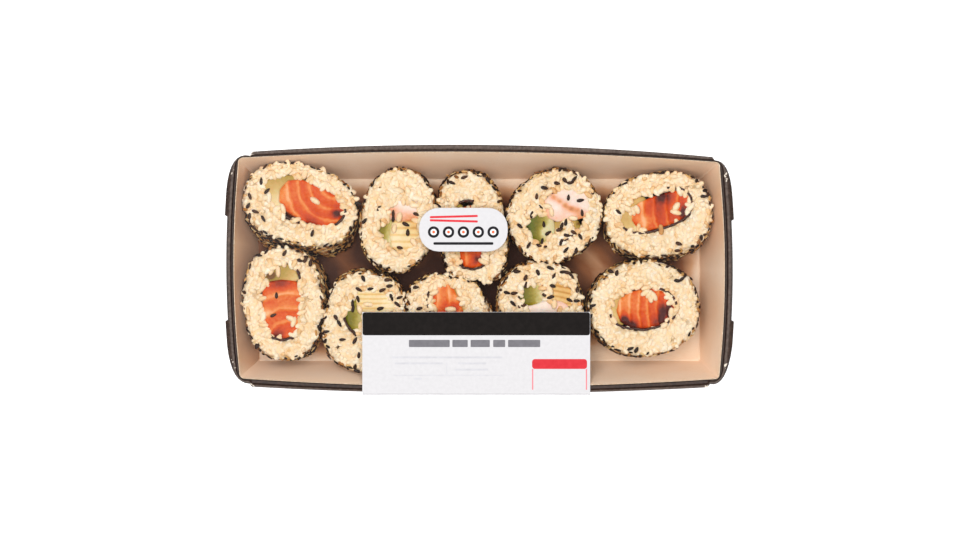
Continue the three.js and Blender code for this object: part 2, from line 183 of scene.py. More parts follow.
def tray_ring(row):
    """A closed line round the tray by one row of the walls' sections, and how much painted highlight greys it.
    """
    ring, rubbed = [], []

    def station(wall, share, ply):
        rows = long_section if wall["ply"] and ply else end_section
        inwards, cut, board_share, ply_share, height, z, rub, _ = rows[row]
        board = cut * cut_width + board_share * (wall["board"] - cut_width)
        point = wall_point(wall, share, height, board + ply_share * ply - inwards)
        return point, z, rub, (board + ply_share * ply) / (wall["board"] + ply)

    inwards, _, _, _, height, *_ = end_section[row]
    for k, wall in enumerate(walls):
        after = walls[(k + 1) % 4]
        drawn = [station(wall, *place) for place in stations(wall)]
        ring += [(point.x, point.y, z) for point, z, _, _ in drawn]
        rubbed += [rub for _, _, rub, _ in drawn]
        last, first = tight_corner / wall["length"], tight_corner / after["length"]
        inside = fold(
            wall_point(wall, 1 - last, height, -inwards), wall_point(after, first, height, -inwards), wall
        )
        start_share, start_ply = stations(wall)[-1]
        end_share, end_ply = stations(after)[0]
        outside = fold(
            wall_point(wall, start_share, height, wall["board"] + start_ply),
            wall_point(after, end_share, height, after["board"] + end_ply),
            wall,
            wall["pull"],
        )
        _, z_from, rub_from, across_from = drawn[-1]
        _, z_to, rub_to, across_to = station(after, end_share, end_ply)
        for i, (a, b) in enumerate(zip(inside, outside)):
            t = (i + 1) / (corner_steps + 1)
            point = a.lerp(b, across_from + t * (across_to - across_from))
            ring.append((point.x, point.y, z_from + t * (z_to - z_from)))
            rubbed.append(rub_from + t * (rub_to - rub_from))
    return [Vector(point) * MM for point in ring], rubbed


# Points of one mesh that are closer than this are joined, in metres.
same_point, weld = 1e-7, 1e-6


def loft(bm, rings, kinds=None, **painted):
    """Stretches a grid over closed rings; a band of faces has its kind, and a point its painted values."""
    layers = {name: bm.verts.layers.float.new(name) for name in painted}
    columns, rows = len(rings[0]), len(rings) - 1
    grid = bmesh.ops.create_grid(bm, x_segments=columns, y_segments=rows, size=1)["verts"]
    faces = {face for vert in grid for face in vert.link_faces}
    for face in faces if kinds else ():
        row = int((face.calc_center_median().y + 1) / 2 * rows)
        face.material_index = kinds[row]
    for vert in grid:
        row, column = round((vert.co.y + 1) / 2 * rows), round((vert.co.x + 1) / 2 * columns) % columns
        vert.co = rings[row][column]
        for name, values in painted.items():
            vert[layers[name]] = values[row][column]
    bmesh.ops.remove_doubles(bm, verts=grid, dist=same_point)


def linear(code):
    """An sRGB colour such as #aabbcc, as linear RGBA."""
    channels = [int(code[i : i + 2], 16) / 255 for i in (1, 3, 5)]
    return [c / 12.92 if c <= 0.04045 else ((c + 0.055) / 1.055) ** 2.4 for c in channels] + [1.0]


def add(tree, kind, inputs, stops=(), output=0, **properties):
    """Adds a node and gives back one of its outputs. An input is a value or the socket that feeds it, and a
    ramp's stops are colours or values."""
    node = tree.nodes.new("ShaderNode" + kind)
    for name, value in properties.items():
        setattr(node, name, value)
    for name, value in inputs.items():
        if isinstance(value, bpy.types.NodeSocket):
            tree.links.new(value, node.inputs[name])
        else:
            node.inputs[name].default_value = value
    for position, look in stops:
        colour = linear(look) if isinstance(look, str) else (look, look, look, 1.0)
        node.color_ramp.elements.new(position).color = colour
    for _ in range(2 if stops else 0):
        plain = [e for e in node.color_ramp.elements if e.position in (0.0, 1.0)]
        node.color_ramp.elements.remove(plain[0] if plain[0].position == 0.0 else plain[-1])
    return node.outputs[output]


def per(size_mm):
    """The scale of a texture whose features are this large."""
    return 1 / (size_mm * MM)


def new_material(name, **sockets):
    """A material, its node tree, its shader with constants on its own sockets, and Object coordinates."""
    made = bpy.data.materials.new(name)
    made.use_nodes = True
    shader = made.node_tree.nodes["Principled BSDF"]
    for socket, value in sockets.items():
        plain = linear(value) if isinstance(value, str) else value
        shader.inputs[socket.replace("_", " ")].default_value = plain
    return made, made.node_tree, shader, add(made.node_tree, "TexCoord", {}, output="Object")


def uneven(tree, base, pattern, amount, middle=0.5):
    """A value made uneven by so much of a pattern, which wanders round its middle."""
    centred = add(tree, "Math", {0: pattern, 1: middle}, operation="SUBTRACT")
    return add(tree, "Math", {0: centred, 1: amount, 2: base}, operation="MULTIPLY_ADD")


def dress(tree, shader, colour, pattern=None, strength=0.0, depth_mm=0.0):
    """Gives a shader its colour and the relief of a pattern."""
    tree.links.new(colour, shader.inputs["Base Color"])
    if pattern:
        relief = add(tree, "Bump", {"Height": pattern, "Strength": strength, "Distance": depth_mm * MM})
        tree.links.new(relief, shader.inputs["Normal"])


def patterned(name, size_mm, detail, stops, strength=0.0, depth_mm=0.0, **sockets):
    """A material whose colour wanders along the stops by one fine pattern, which is its relief as well."""
    made, tree, shader, coords = new_material(name, **sockets)
    pattern = add(tree, "TexNoise", {"Vector": coords, "Scale": per(size_mm), "Detail": detail})
    colour = add(tree, "ValToRGB", {"Fac": pattern}, stops)
    dress(tree, shader, colour, pattern if strength else None, strength, depth_mm)
    return made


def place(name, mesh, materials, slot, *nodes):
    """Puts a finished mesh in the scene: it rides on the tray and stands for the named solids."""
    for material in materials:
        mesh.materials.append(material)
    made = bpy.data.objects.new(name, mesh)
    bpy.context.scene.collection.objects.link(made)
    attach(made, "root")
    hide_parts(*nodes)


def mesh_of(bm, name, smooth=True):
    """The mesh of a finished bmesh, which isn't needed after that."""
    mesh = bpy.data.meshes.new(name)
    bm.to_mesh(mesh)
    bm.free()
    for polygon in mesh.polygons:
        polygon.use_smooth = smooth
    return mesh


# Bare kraft liner, as the mill leaves it: warm, matt, with fibres that lie mostly along the machine's
# direction and shine a little at a flat angle. Painted shade darkens and browns it where the rolls stand
# close.
bare_kraft, tree, shader, coords = new_material(
    "bare_kraft_liner", Roughness=0.85, Sheen_Weight=0.8, Sheen_Roughness=0.6, Sheen_Tint="#ffd2ac"
)
stretched = add(tree, "Mapping", {"Vector": coords, "Scale": (0.25, 1.0, 1.0)})
# Fibres are 0.03 mm wide; drawn 0.5 mm wide, so that they show.
fibres = add(tree, "TexNoise", {"Vector": stretched, "Scale": per(0.5), "Detail": 4.0})
cloudy = add(tree, "TexNoise", {"Vector": coords, "Scale": per(14.0), "Detail": 2.0})
mixed = add(tree, "Math", {0: fibres, 1: cloudy}, operation="ADD")
halved = add(tree, "Math", {0: mixed, 1: 0.5}, operation="MULTIPLY")
unshaded = add(tree, "ValToRGB", {"Fac": halved}, [(0.34, "#fbe4c9"), (0.5, "#feecd6"), (0.66, "#fff2e2")])
# Painted shade: this value is highest where rolls stand close, and it darkens and browns the kraft.
roll_shade = add(tree, "Attribute", {}, output="Fac", attribute_name="roll_shade")
shade_colour = add(tree, "ValToRGB", {"Fac": roll_shade}, [
    (0.02, "#fefefe"), (0.1, "#ede7e0"), (0.3, "#ceaa8c"), (0.6, "#8e5c38"), (0.95, "#401c0c"),
])
kraft = add(tree, "Mix", {0: 1.0, 6: unshaded, 7: shade_colour}, output=2, data_type="RGBA", blend_type="MULTIPLY")
dress(tree, shader, kraft, fibres, 0.25, 0.15)

# The board's cut edge: pale pulp, rough from the die.
cut_edge = patterned("die_cut_board_edge", 0.8, 3.0, [(0.3, "#caa988"), (0.7, "#eed9bf")], Roughness=0.9)

# Offset-printed black with a water-based coat: a soft sheen over the board's grain. It is painted grey along
# the backs of the folds as a highlight where they catch the light, and cracked to the white pulp in short
# flecks where the board turns a corner.
printed_board, tree, shader, coords = new_material(
    "black_printed_board", Roughness=0.55, Specular_IOR_Level=0.3
)
board_grain = add(tree, "TexNoise", {"Vector": coords, "Scale": per(1.2), "Detail": 5.0})
black = add(tree, "ValToRGB", {"Fac": board_grain}, [(0.35, "#23140d"), (0.7, "#402a1f")])
# The grey is a painted highlight on the backs of the folds.
grey = add(tree, "ValToRGB", {"Fac": board_grain}, [(0.35, "#43342c"), (0.7, "#64544a")])
rub = add(tree, "Attribute", {}, output="Fac", attribute_name="rub")
ink = add(tree, "Mix", {0: rub, 6: black, 7: grey}, output=2, data_type="RGBA")
cracks = add(tree, "TexNoise", {"Vector": coords, "Scale": per(1.3), "Detail": 1.0})
wear = add(tree, "Attribute", {}, output="Fac", attribute_name="wear")
worn = add(tree, "Math", {0: cracks, 1: wear}, operation="MULTIPLY")
flecks = add(tree, "ValToRGB", {"Fac": worn}, [(0.6, 0.0), (0.68, 1.0)])
cracked = add(tree, "Mix", {0: flecks, 6: ink, 7: linear("#e9dccb")}, output=2, data_type="RGBA")
dress(tree, shader, cracked, board_grain, 0.2, 0.1)

tray_bm = bmesh.new()
section_rings, rubbed_rings = zip(*[tray_ring(row) for row in range(len(end_section))])
loft(tray_bm, section_rings, [kind for *_, kind in end_section], rub=rubbed_rings)
caps = bmesh.ops.holes_fill(tray_bm, edges=tray_bm.edges, sides=0)["faces"]
for cap in caps:
    cap.material_index = PRINTED if cap.calc_center_median().z < floor_top * MM / 2 else KRAFT
bmesh.ops.recalc_face_normals(tray_bm, faces=tray_bm.faces)

# The floor is cut into small faces, so that the painted shade of the rolls can be laid on their corners:
# darkest in the middle, where several rolls stand close by, and fading towards the long walls. A wall takes
# its own share of painted shade where a roll is near.
# A normal's upward share past which a face counts as level.
level = 0.99
shade_cell = 3.0
shade_reach = 8.0
shade_fades = (28.0, 38.0)
floor_shade = 0.12
crowd_shade = 0.85
wall_shades = (0.0, 0.34, 0.14, 0.75)
crease_reach = 0.1
roll_foot = 4
for axis, half in enumerate(floor_half):
    for place_mm in np.arange(-half + shade_cell, half, shade_cell):
        bottom = [
            f for f in tray_bm.faces if f.normal.z > level and f.calc_center_median().z < 2 * floor_top * MM
        ]
        geometry = {g for face in bottom for g in (face, *face.edges, *face.verts)}
        normal = Vector((axis == 0, axis == 1, 0))
        bmesh.ops.bisect_plane(tray_bm, geom=list(geometry), plane_co=normal * float(place_mm) * MM,
                               plane_no=normal, dist=weld)
roll_shade_layer = tray_bm.verts.layers.float.new("roll_shade")
roll_sides = [
    np.array([v.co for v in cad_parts[name].data.vertices]) / MM
    for name in sorted(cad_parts) if name.startswith("rice_")
]
roll_sides = [points[points[:, 2] > roll_foot] for points in roll_sides]
for vert in tray_bm.verts:
    spot = np.array(vert.co.xy) / MM
    aways = [np.linalg.norm(points[:, :2] - spot, axis=1).min() for points in roll_sides]
    nearness = [math.exp(-(away / shade_reach) ** 2) for away in aways]
    inner = min(1.0, max(0.0, (shade_fades[1] - abs(spot[1])) / (shade_fades[1] - shade_fades[0])))
    past = [spot.dot(wall["out"]) - abs(np.dot(floor_half, wall["out"])) for wall in walls]
    if max(past) > -crease_reach:
        vert[roll_shade_layer] = wall_shades[past.index(max(past))] * max(nearness)
    else:
        vert[roll_shade_layer] = min(1.0, floor_shade + crowd_shade * inner * max(0.0, sum(nearness) - 1))

# The coat cracks in a narrow band round the outer third of each corner's fold: how far from the inside
# corner, how far down from the rim, and how much.
crack_reach = (4.6, 8.4)
crack_depth = 1.6
crack_strength = 1.25
wear_layer = tray_bm.verts.layers.float.new("wear")
for vert in tray_bm.verts:
    away = min(math.dist((x * MM, y * MM), vert.co.xy) for x, y in corners) / MM
    below_rim = tray_height - vert.co.z / MM
    in_reach = max(0.0, 1 - abs(away - sum(crack_reach) / 2) / (crack_reach[1] - crack_reach[0]))
    vert[wear_layer] = crack_strength * min(1.0, 2 * in_reach) * max(0.0, 1 - below_rim / crack_depth)
place("tray_carton", mesh_of(tray_bm, "tray_carton", smooth=False), [bare_kraft, cut_edge, printed_board],
      "board", "tray")

# ---------------------------------------------------------------- rice
# Short-grain brown rice, cooked and pressed into a ring round the seaweed. The knife leaves the cut faces
# full of grain ends, and drags a few grains over the fillings; the round sides are rolled in sesame. Each
# roll's rice is one heap of grains on a shrunken core.

# Ten slices of inside-out roll stand on end in two rows. An oval is the centre, half length, half width, turn
# in degrees and squareness of an outline, in millimetres. The core is the seaweed that wraps the fillings,
# and the sheet is the part of its edge that shows, in degrees from the core's long axis; clear are the places
# that the dragged rice leaves open, crumbs are grains that lie on the fillings, and seeds are x, y and turn
# of black sesame.
rolls = [
    {
        "core": (-73.5, 29, 18.4, 9.6, -20, 2.3), "height": 29, "lean": (-1, -6),
        "sheet": [(-30, 18), (-130, -85)],
        "clear": [(-72.2, 28, 14.8, 7.8, -24), (-83.5, 36.2, 8, 2.6, 18)],
        "crumbs": [(-68.6, 28.8), (-76.5, 20.8), (-82, 25.5)],
        "seeds": [
            (-91.1, 37, 88), (-88.6, 32.9, 45), (-69.7, 15.3, 75), (-50.8, 27.8, -5), (-93.5, 24.3, -20),
            (-96, 22.5, 80), (-90.2, 21.3, -60), (-96.5, 26.8, 60), (-95.8, 30.6, -70),
        ],
        "fillings": [("salmon", -70, 27.9, 14.4, 8, -24), ("avocado", -82.6, 33.4, 12, 8.6, 0)],
    },
    {
        "core": (-32.3, 20.4, 11, 13.2, -8, 2.3), "height": 27, "lean": (0, 0), "sheet": [(155, 175)],
        "clear": [(-31.8, 24, 5.4, 2.6, 0), (-33, 14.3, 6.6, 6, 0), (-39, 15.6, 1.8, 2.8, 0)],
        "crumbs": [(-35.5, 17.2), (-27.4, 11.5), (-33.5, 22)],
        "seeds": [
            (-36, 23.6, 88), (-36, 21.4, 86), (-26.2, 23.2, -20), (-30.7, 19, -25), (-29.9, 15.6, 88),
            (-33.2, 9.2, -10), (-48, 20.4, 50),
        ],
        "fillings": [
            ("shrimp", -31.2, 27.6, 10.4, 7.2, 0), ("omelette", -28, 14.6, 9.2, 8, 0),
            ("cucumber", -40, 15.6, 5.4, 9, 0),
        ],
    },
    {
        "core": (-3.7, 14.6, 8, 14.6, 6, 2.8), "height": 26.5, "lean": (0, 0.5),
        "sheet": [(75, 110), (-135, -30)],
        "clear": [(-4.4, 12, 5.4, 11.4, 4), (-5.8, 28, 3, 1.6, 15)],
        "crumbs": [(1.8, 3.4), (2.6, 6.2)],
        "seeds": [(-6.2, 38.7, 20), (-11.4, 36.4, -20), (-7.8, -4.6, 70), (3.6, 37.6, -60), (6.3, 35, -50)],
        "fillings": [("salmon", -2.6, 13.4, 6.3, 13.4, 6), ("avocado", -9, 16.2, 4.2, 12, 6)],
    },
    {
        "core": (33.4, 22.3, 15.4, 10, 36, 2.4), "height": 27, "lean": (0, 0),
        "sheet": [(195, 225), (255, 275)],
        "clear": [
            (36.6, 27.2, 8.6, 5.4, -12), (24.6, 16.8, 3.6, 5.2, 10), (31, 18.6, 2.6, 2.6, 0),
            (41.4, 19, 1.8, 2, 0),
        ],
        "crumbs": [(30.2, 24.2), (28.4, 26.6), (39.2, 21.6)],
        "seeds": [
            (13, 29, 100), (24, 30.7, 85), (25.5, 26.3, -35), (19.5, 21.3, 50), (17, 18.3, -40),
            (22, 23, 80), (27, 19, 95), (28.8, 15.3, 35), (20.7, 10.3, 60), (26.3, 12, 80),
            (34.3, 11.5, 75), (36.7, 14.4, -10), (39.5, 15.6, -30), (42.3, 13.8, -60), (36.3, 8.3, 50),
            (40.5, 8, 80), (43, 23.8, 95), (42.3, 29, 10), (37.3, 30.2, 85), (32.5, 36.2, -10),
            (35.8, 37.4, -50), (38.2, 36.4, 10), (39.8, 38, 50), (27.3, 34.2, -15), (47.4, 33, 95),
            (47.8, 12, 60), (34.6, 18.6, 70), (33.6, 16.8, 20), (36.2, 19.9, 80),
        ],
        "fillings": [
            ("shrimp", 38.4, 28.2, 11.4, 7.4, 10), ("cucumber", 25.6, 16.2, 6, 8, 0),
            ("avocado", 35.6, 16.4, 7, 6, 20),
        ],
    },
    {
        "core": (73.9, 24.8, 15.9, 8.4, 17, 2.5), "height": 26.5, "lean": (0, -2), "sheet": [(-165, 70)],
        "clear": [(76, 25, 10.4, 6.4, 18), (67, 28.2, 4.6, 2.2, 15), (63, 20.3, 3.2, 3, 0)],
        "crumbs": [(82.4, 26.4), (82.2, 24), (62.2, 25.4), (66, 25.2)],
        "seeds": [(58.2, 24.2, -35), (94, 30.7, 0), (83.5, 10.9, -20), (83, 8, 5), (92.3, 8.8, 30)],
        "fillings": [("salmon", 76.4, 24.8, 13, 6.6, 18), ("avocado", 64, 23.6, 8, 7.6, 10)],
    },
    {
        "core": (-82.5, -13.1, 8.8, 16.3, 2, 3), "height": 29, "lean": (2, 0),
        "sheet": [(-120, -60), (20, 45)],
        "clear": [(-82.8, -15.8, 6.9, 11.4, 2), (-80.4, -2.6, 4.8, 3.4, 0), (-87.6, -2.7, 2.6, 1.4, 0)],
        "crumbs": [(-78.6, -20.4), (-77.6, -21.8), (-84, -0.8)],
        "seeds": [
            (-84.7, -10.7, 90), (-86, -19, 25), (-81.3, 7, 60), (-74.7, 3.9, -10), (-72.6, 4.2, 60),
            (-70.5, 2.9, 85), (-92.5, -31.8, 50), (-90.8, -36.2, 60), (-88.5, -37.6, -15),
            (-75.3, -36.2, 40),
        ],
        "fillings": [("salmon", -82.5, -17, 8.4, 12.6, 2), ("avocado", -82.5, 0, 8.4, 5.4, 0)],
    },
    {
        "core": (-45.7, -17.7, 11.1, 10.2, 0, 2.4), "height": 27, "lean": (0, 1), "sheet": [(190, 250)],
        "clear": [(-43, -12.9, 8.2, 4.2, 0), (-52.4, -20.4, 2.8, 4, -20)],
        "crumbs": [(-50, -16.6), (-46.5, -14.5)],
        "seeds": [
            (-48.5, -3.7, -65), (-46.7, -1.3, -40), (-43.5, -1.6, -40), (-50.3, -8.3, -30), (-45.5, -8, 10),
            (-40.5, -8.5, 25), (-37.5, -6.8, 10), (-38.3, -4.2, 5), (-35.7, -5, -60), (-50.7, -12.3, -75),
            (-53, -13.9, 85), (-52.8, -16.2, 80), (-41.3, -16.2, 15), (-36.7, -11.6, -70),
            (-33.3, -11.6, 20), (-34.2, -14.5, -40), (-60, -20, -60), (-58.5, -22.5, -60),
            (-57.2, -29.2, 5), (-52.3, -26.5, -60), (-52, -29.6, 60), (-50.4, -35.7, 85),
            (-62.5, -36.2, 10), (-64, -25.9, 10), (-51, -42.4, -15),
        ],
        "fillings": [
            ("omelette", -42.6, -12.2, 9, 5.6, 0), ("cucumber", -53, -19.4, 5.2, 7.4, 0),
            ("shrimp", -42.2, -23.2, 8.4, 6, 0),
        ],
    },
    {
        "core": (-12.8, -16.1, 8.2, 11.2, 22, 2.6), "height": 26, "lean": (0, 0), "sheet": [(120, 215)],
        "clear": [(-14.4, -10.8, 5, 6.6, 22), (-12, -20, 6, 7, 22)],
        "crumbs": [(-19, -9.6), (-12, -16.6)],
        "seeds": [(-25, -16.2, 15), (-26.5, -7.4, 5)],
        "fillings": [("salmon", -13.6, -16.1, 6, 11.2, 22), ("avocado", -7.2, -14.7, 4, 10, 22)],
    },
    {
        "core": (28.1, -12.6, 11.9, 9.2, 0, 2.4), "height": 27, "lean": (0, 0), "sheet": [(170, 200)],
        "clear": [(22.2, -10.8, 4.2, 3.2, 20), (26, -17, 5, 3.4, 0), (36, -10.6, 5.2, 5.4, 0)],
        "crumbs": [(29.5, -8.5), (31.4, -14.5)],
        "seeds": [
            (15.8, -0.7, 0), (24.6, -1.3, -65), (29.8, 0.7, -20), (31.3, -2.5, 60), (35.2, -0.9, 5),
            (37, -1.2, -10), (38.6, -2.6, -50), (19.4, -3.3, 70), (19.5, -6.3, 80), (30.7, -6.8, -15),
            (38.3, -6.8, -10), (41, -8.3, 85), (11.6, -9.6, -15), (14.7, -9.8, 5), (27.5, -10.7, -30),
            (29.8, -11.4, 10), (37.8, -12.7, -25), (40.8, -13, 0), (14.2, -14.2, -45), (18.6, -14.8, 0),
        ],
        "fillings": [
            ("cucumber", 20.9, -9.6, 6.4, 5.4, 10), ("shrimp", 27.4, -18, 10.4, 5.2, 0),
            ("omelette", 34.4, -9.2, 6.8, 6.4, -10),
        ],
    },
    {
        "core": (68.5, -16.2, 14.2, 9, 4, 2.3), "height": 27.5, "lean": (-1, 0), "sheet": [(-175, 60)],
        "clear": [(68, -16.6, 11, 8.2, 4), (57, -15.6, 2.2, 3, 0)],
        "crumbs": [(71, -10.2), (73, -11), (71.6, -11.8), (69.4, -9.6)],
        "seeds": [
            (57.5, -1.3, 80), (55, -0.7, -20), (82.8, -4.6, -10), (84.8, -3.8, 40), (90, -3.3, 70),
            (51.3, -30, 60), (52.5, -32.5, -35), (63.2, -33, 20), (65.7, -33.5, 60), (47.5, -15, 20),
        ],
        "fillings": [("salmon", 70, -16.4, 12.4, 8.2, 4), ("avocado", 57, -15.8, 5.2, 8, 0)],
    },
]


plain_squareness = 2.4


def turned(x, y, degrees):
    """A place turned round the origin."""
    swing = math.radians(degrees)
    return x * math.cos(swing) - y * math.sin(swing), x * math.sin(swing) + y * math.cos(swing)


def oval_point(oval, angle, grow=0.0):
    """A point of an oval, grown outwards by so many millimetres; the angle is in radians."""
    x, y, length, width, turn, square = oval
    cos, sin = math.cos(angle), math.sin(angle)
    along = math.copysign(abs(cos) ** (2 / square), cos) * (length + grow)
    across = math.copysign(abs(sin) ** (2 / square), sin) * (width + grow)
    return Vector((x, y)) + Vector(turned(along, across, turn))


def oval_depth(oval, x, y, grow=0.0):
    """How far out of an oval's centre a place is: 1 on its outline."""
    centre_x, centre_y, length, width, turn, *square = oval
    along, across = turned(x - centre_x, y - centre_y, -turn)
    power = square[0] if square else plain_squareness
    return (abs(along / (length + grow)) ** power + abs(across / (width + grow)) ** power) ** (1 / power)


def sheet_shows(roll, angle):
    """Whether the seaweed of a roll shows at an angle, in radians."""
    turn = math.degrees(angle)
    return any((turn - low) % 360 <= high - low for low, high in roll["sheet"])


grain_size = (4.6, 2.5, 2.1)
grain_spacing = {"face": 1.5, "side": 2.2, "edge": 1.7}
grain_stands_out = 0.24
# On the cut face a grain lies at one of these tilts in degrees, give or take, and stands out by so many times
# as much; on the side and over the seaweed its tilt is small, in radians.
grain_tilts, tilt_varies = (4, 12, 25, 50), 6
face_stands_out = (0.2, 1.8)
side_tilt, dragged_tilt = 0.15, 0.3
# The mean and the spread of a tint, from tan bran at 0 to cream at 1.
# The side's grains are tinted low partly for their bran coat and partly as painted shade.
grain_tints = {
    "face": (0.57, 0.05), "browned": (0.4, 0.05), "shoulder": (0.5, 0.09), "side": (0.24, 0.09),
    "dragged": (0.5, 0.1),
}
tint_limits = (0.08, 0.8)
browned_share = 0.05
# How far the grains over the seaweed and over the fillings are off their rows, and how far they stand out.
strays = {"edge": (0.8, (0.3, 1.0)), "filling": (0.7, (0.6, 1.2))}
crumb = {"lift": 0.4, "tilt": 0.1, "stands_out": 1.1, "tint": 0.5}
clear_of_filling = 1.1
# The core shows only between the grains; it is tinted below the face's grains as painted shade in those gaps.
core_shrinks, core_shade_tint = 0.25, 0.45
lowest_grain = 4.0
edge_band = 3.5
top_slope, side_slope = 0.55, 0.75


def outside(node, middle):
    """A solid's triangles (mm): their corners and normals, and which are its top and its round side."""
    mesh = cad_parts[node].data
    mesh.calc_loop_triangles()
    corners_of = np.array([t.vertices[:] for t in mesh.loop_triangles])
    places = np.array([v.co for v in mesh.vertices])[corners_of] / MM
    normals = np.cross(places[:, 1] - places[:, 0], places[:, 2] - places[:, 0])
    normals /= np.linalg.norm(normals, axis=1)[:, None] + 1e-12
    middles = places.mean(axis=1)
    top = places[:, :, 2].max()
    up = (normals[:, 2] > top_slope) & (middles[:, 2] > top - edge_band)
    outward = ((middles[:, :2] - np.array(middle)) * normals[:, :2]).sum(axis=1) > 0
    side = (np.abs(normals[:, 2]) < side_slope) & outward
    return places, normals, up, side


# How many points are thrown at a surface for each square of the spacing.
throws = 6


def darts(places, normals, spacing, draw):
    """Random points on triangles, no two nearer than the spacing (mm), with the triangles' normals."""
    edges_u, edges_v = places[:, 1] - places[:, 0], places[:, 2] - places[:, 0]
    areas = np.linalg.norm(np.cross(edges_u, edges_v), axis=1) / 2
    count = int(areas.sum() / spacing**2 * throws)
    chosen = draw.choice(len(areas), count, p=areas / areas.sum())
    u, v = draw.random((2, count))
    flipped = u + v > 1
    u[flipped], v[flipped] = 1 - u[flipped], 1 - v[flipped]
    points = places[chosen, 0] + u[:, None] * edges_u[chosen] + v[:, None] * edges_v[chosen]
    cells, kept = {}, []
    for i, point in enumerate(points):
        home = [int(c // spacing) for c in point]
        near = [
            j
            for dx in (-1, 0, 1)
            for dy in (-1, 0, 1)
            for dz in (-1, 0, 1)
            for j in cells.get((home[0] + dx, home[1] + dy, home[2] + dz), ())
        ]
        if not near or np.linalg.norm(points[near] - point, axis=1).min() >= spacing:
            cells.setdefault(tuple(home), []).append(i)
            kept.append(i)
    return points[kept], normals[chosen][kept]


def lay(point, up, size, stands_out, turn, tilt, draw, spread=0.12):
    """The matrix (mm) that lays a copy of a small thing on a surface; it stands out of it by so much."""
    up = Vector(up)
    flat = Vector((1, 0, 0)) if abs(up.z) > level else up.orthogonal().normalized()
    flat.rotate(Matrix.Rotation(turn, 3, up))
    along = flat * math.cos(tilt) + up * math.sin(tilt)
    across = up.cross(flat)
    axes = Matrix((along, across, along.cross(across))).transposed()
    scale = [s * (1 + spread * draw.uniform(-1, 1)) for s in size]
    half = math.sqrt(sum((scale[k] / 2 * axes.col[k].dot(up)) ** 2 for k in range(3)))
    centre = Vector(point) + up * (stands_out - half)
    return Matrix.LocRotScale(centre, axes.to_quaternion(), Vector(scale))


def copies(shape, matrices):
    """One set of vertices (m) and faces for many copies of a small mesh."""
    points = np.array([v.co for v in shape.verts])
    # A triangle is filled up to four corners with a -1.
    faces = np.array([[v.index for v in face.verts] + [-1] * (4 - len(face.verts)) for face in shape.faces])
    moves = np.array([[list(row) for row in m] for m in matrices]).reshape(-1, 4, 4)
    placed = np.einsum("nij,vj->nvi", moves[:, :3, :3], points) + moves[:, None, :3, 3]
    shifts = (np.arange(len(moves)) * len(points))[:, None, None]
    all_faces = np.where(faces >= 0, faces + shifts, -1).reshape(-1, 4).tolist()
    return placed.reshape(-1, 3) * MM, [[i for i in face if i >= 0] for face in all_faces]


def heap(name, parts):
    """A mesh of several sets of vertices and faces, each with a tint for every vertex."""
    vertices, faces, tints = [], [], []
    for points, part_faces, part_tints in parts:
        shift = sum(len(v) for v in vertices)
        faces += [[i + shift for i in face] for face in part_faces]
        vertices.append(points)
        tints.append(part_tints)
    mesh = bpy.data.meshes.new(name)
    mesh.from_pydata(np.concatenate(vertices).tolist(), [], faces)
    mesh.attributes.new("tint", "FLOAT", "POINT").data.foreach_set("value", np.concatenate(tints))
    mesh.shade_smooth()
    mesh.update()
    return mesh


def welded(node):
    """A solid's loose triangles, joined."""
    bm = bmesh.new()
    bm.from_mesh(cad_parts[node].data)
    bmesh.ops.remove_doubles(bm, verts=bm.verts, dist=weld)
    bm.normal_update()
    return bm


# A grain is a blunt ellipsoid of a few dozen faces, one unit across, with its long axis along X.
grain = bmesh.new()
bmesh.ops.create_uvsphere(grain, u_segments=7, v_segments=5, radius=0.5)
bmesh.ops.rotate(grain, verts=grain.verts, matrix=Matrix.Rotation(math.pi / 2, 3, "Y"))

# Cooked brown rice: starchy cream inside a thin tan bran coat, moist and slightly see-through.
brown_rice, tree, shader, coords = new_material(
    "cooked_brown_rice", Roughness=0.55, Subsurface_Weight=0.2, Subsurface_Scale=1.0 * MM,
    Subsurface_Radius=(1.0, 0.65, 0.35), IOR=1.4,
)
tint = add(tree, "Attribute", {}, output="Fac", attribute_name="tint")
patches = add(tree, "TexNoise", {"Vector": coords, "Scale": per(6.0), "Detail": 2.0})
specks = add(tree, "TexNoise", {"Vector": coords, "Scale": per(1.2), "Detail": 3.0})
both = add(tree, "Math", {0: patches, 1: specks}, operation="ADD")
tones = add(tree, "ValToRGB", {"Fac": uneven(tree, tint, both, 0.35, 1.0)}, [
    (0.05, "#a86c34"), (0.2, "#d29a5c"), (0.36, "#edc490"), (0.52, "#f5d8b1"), (0.75, "#fbe9cd"),
])
dress(tree, shader, tones, specks, 0.2, 0.2)

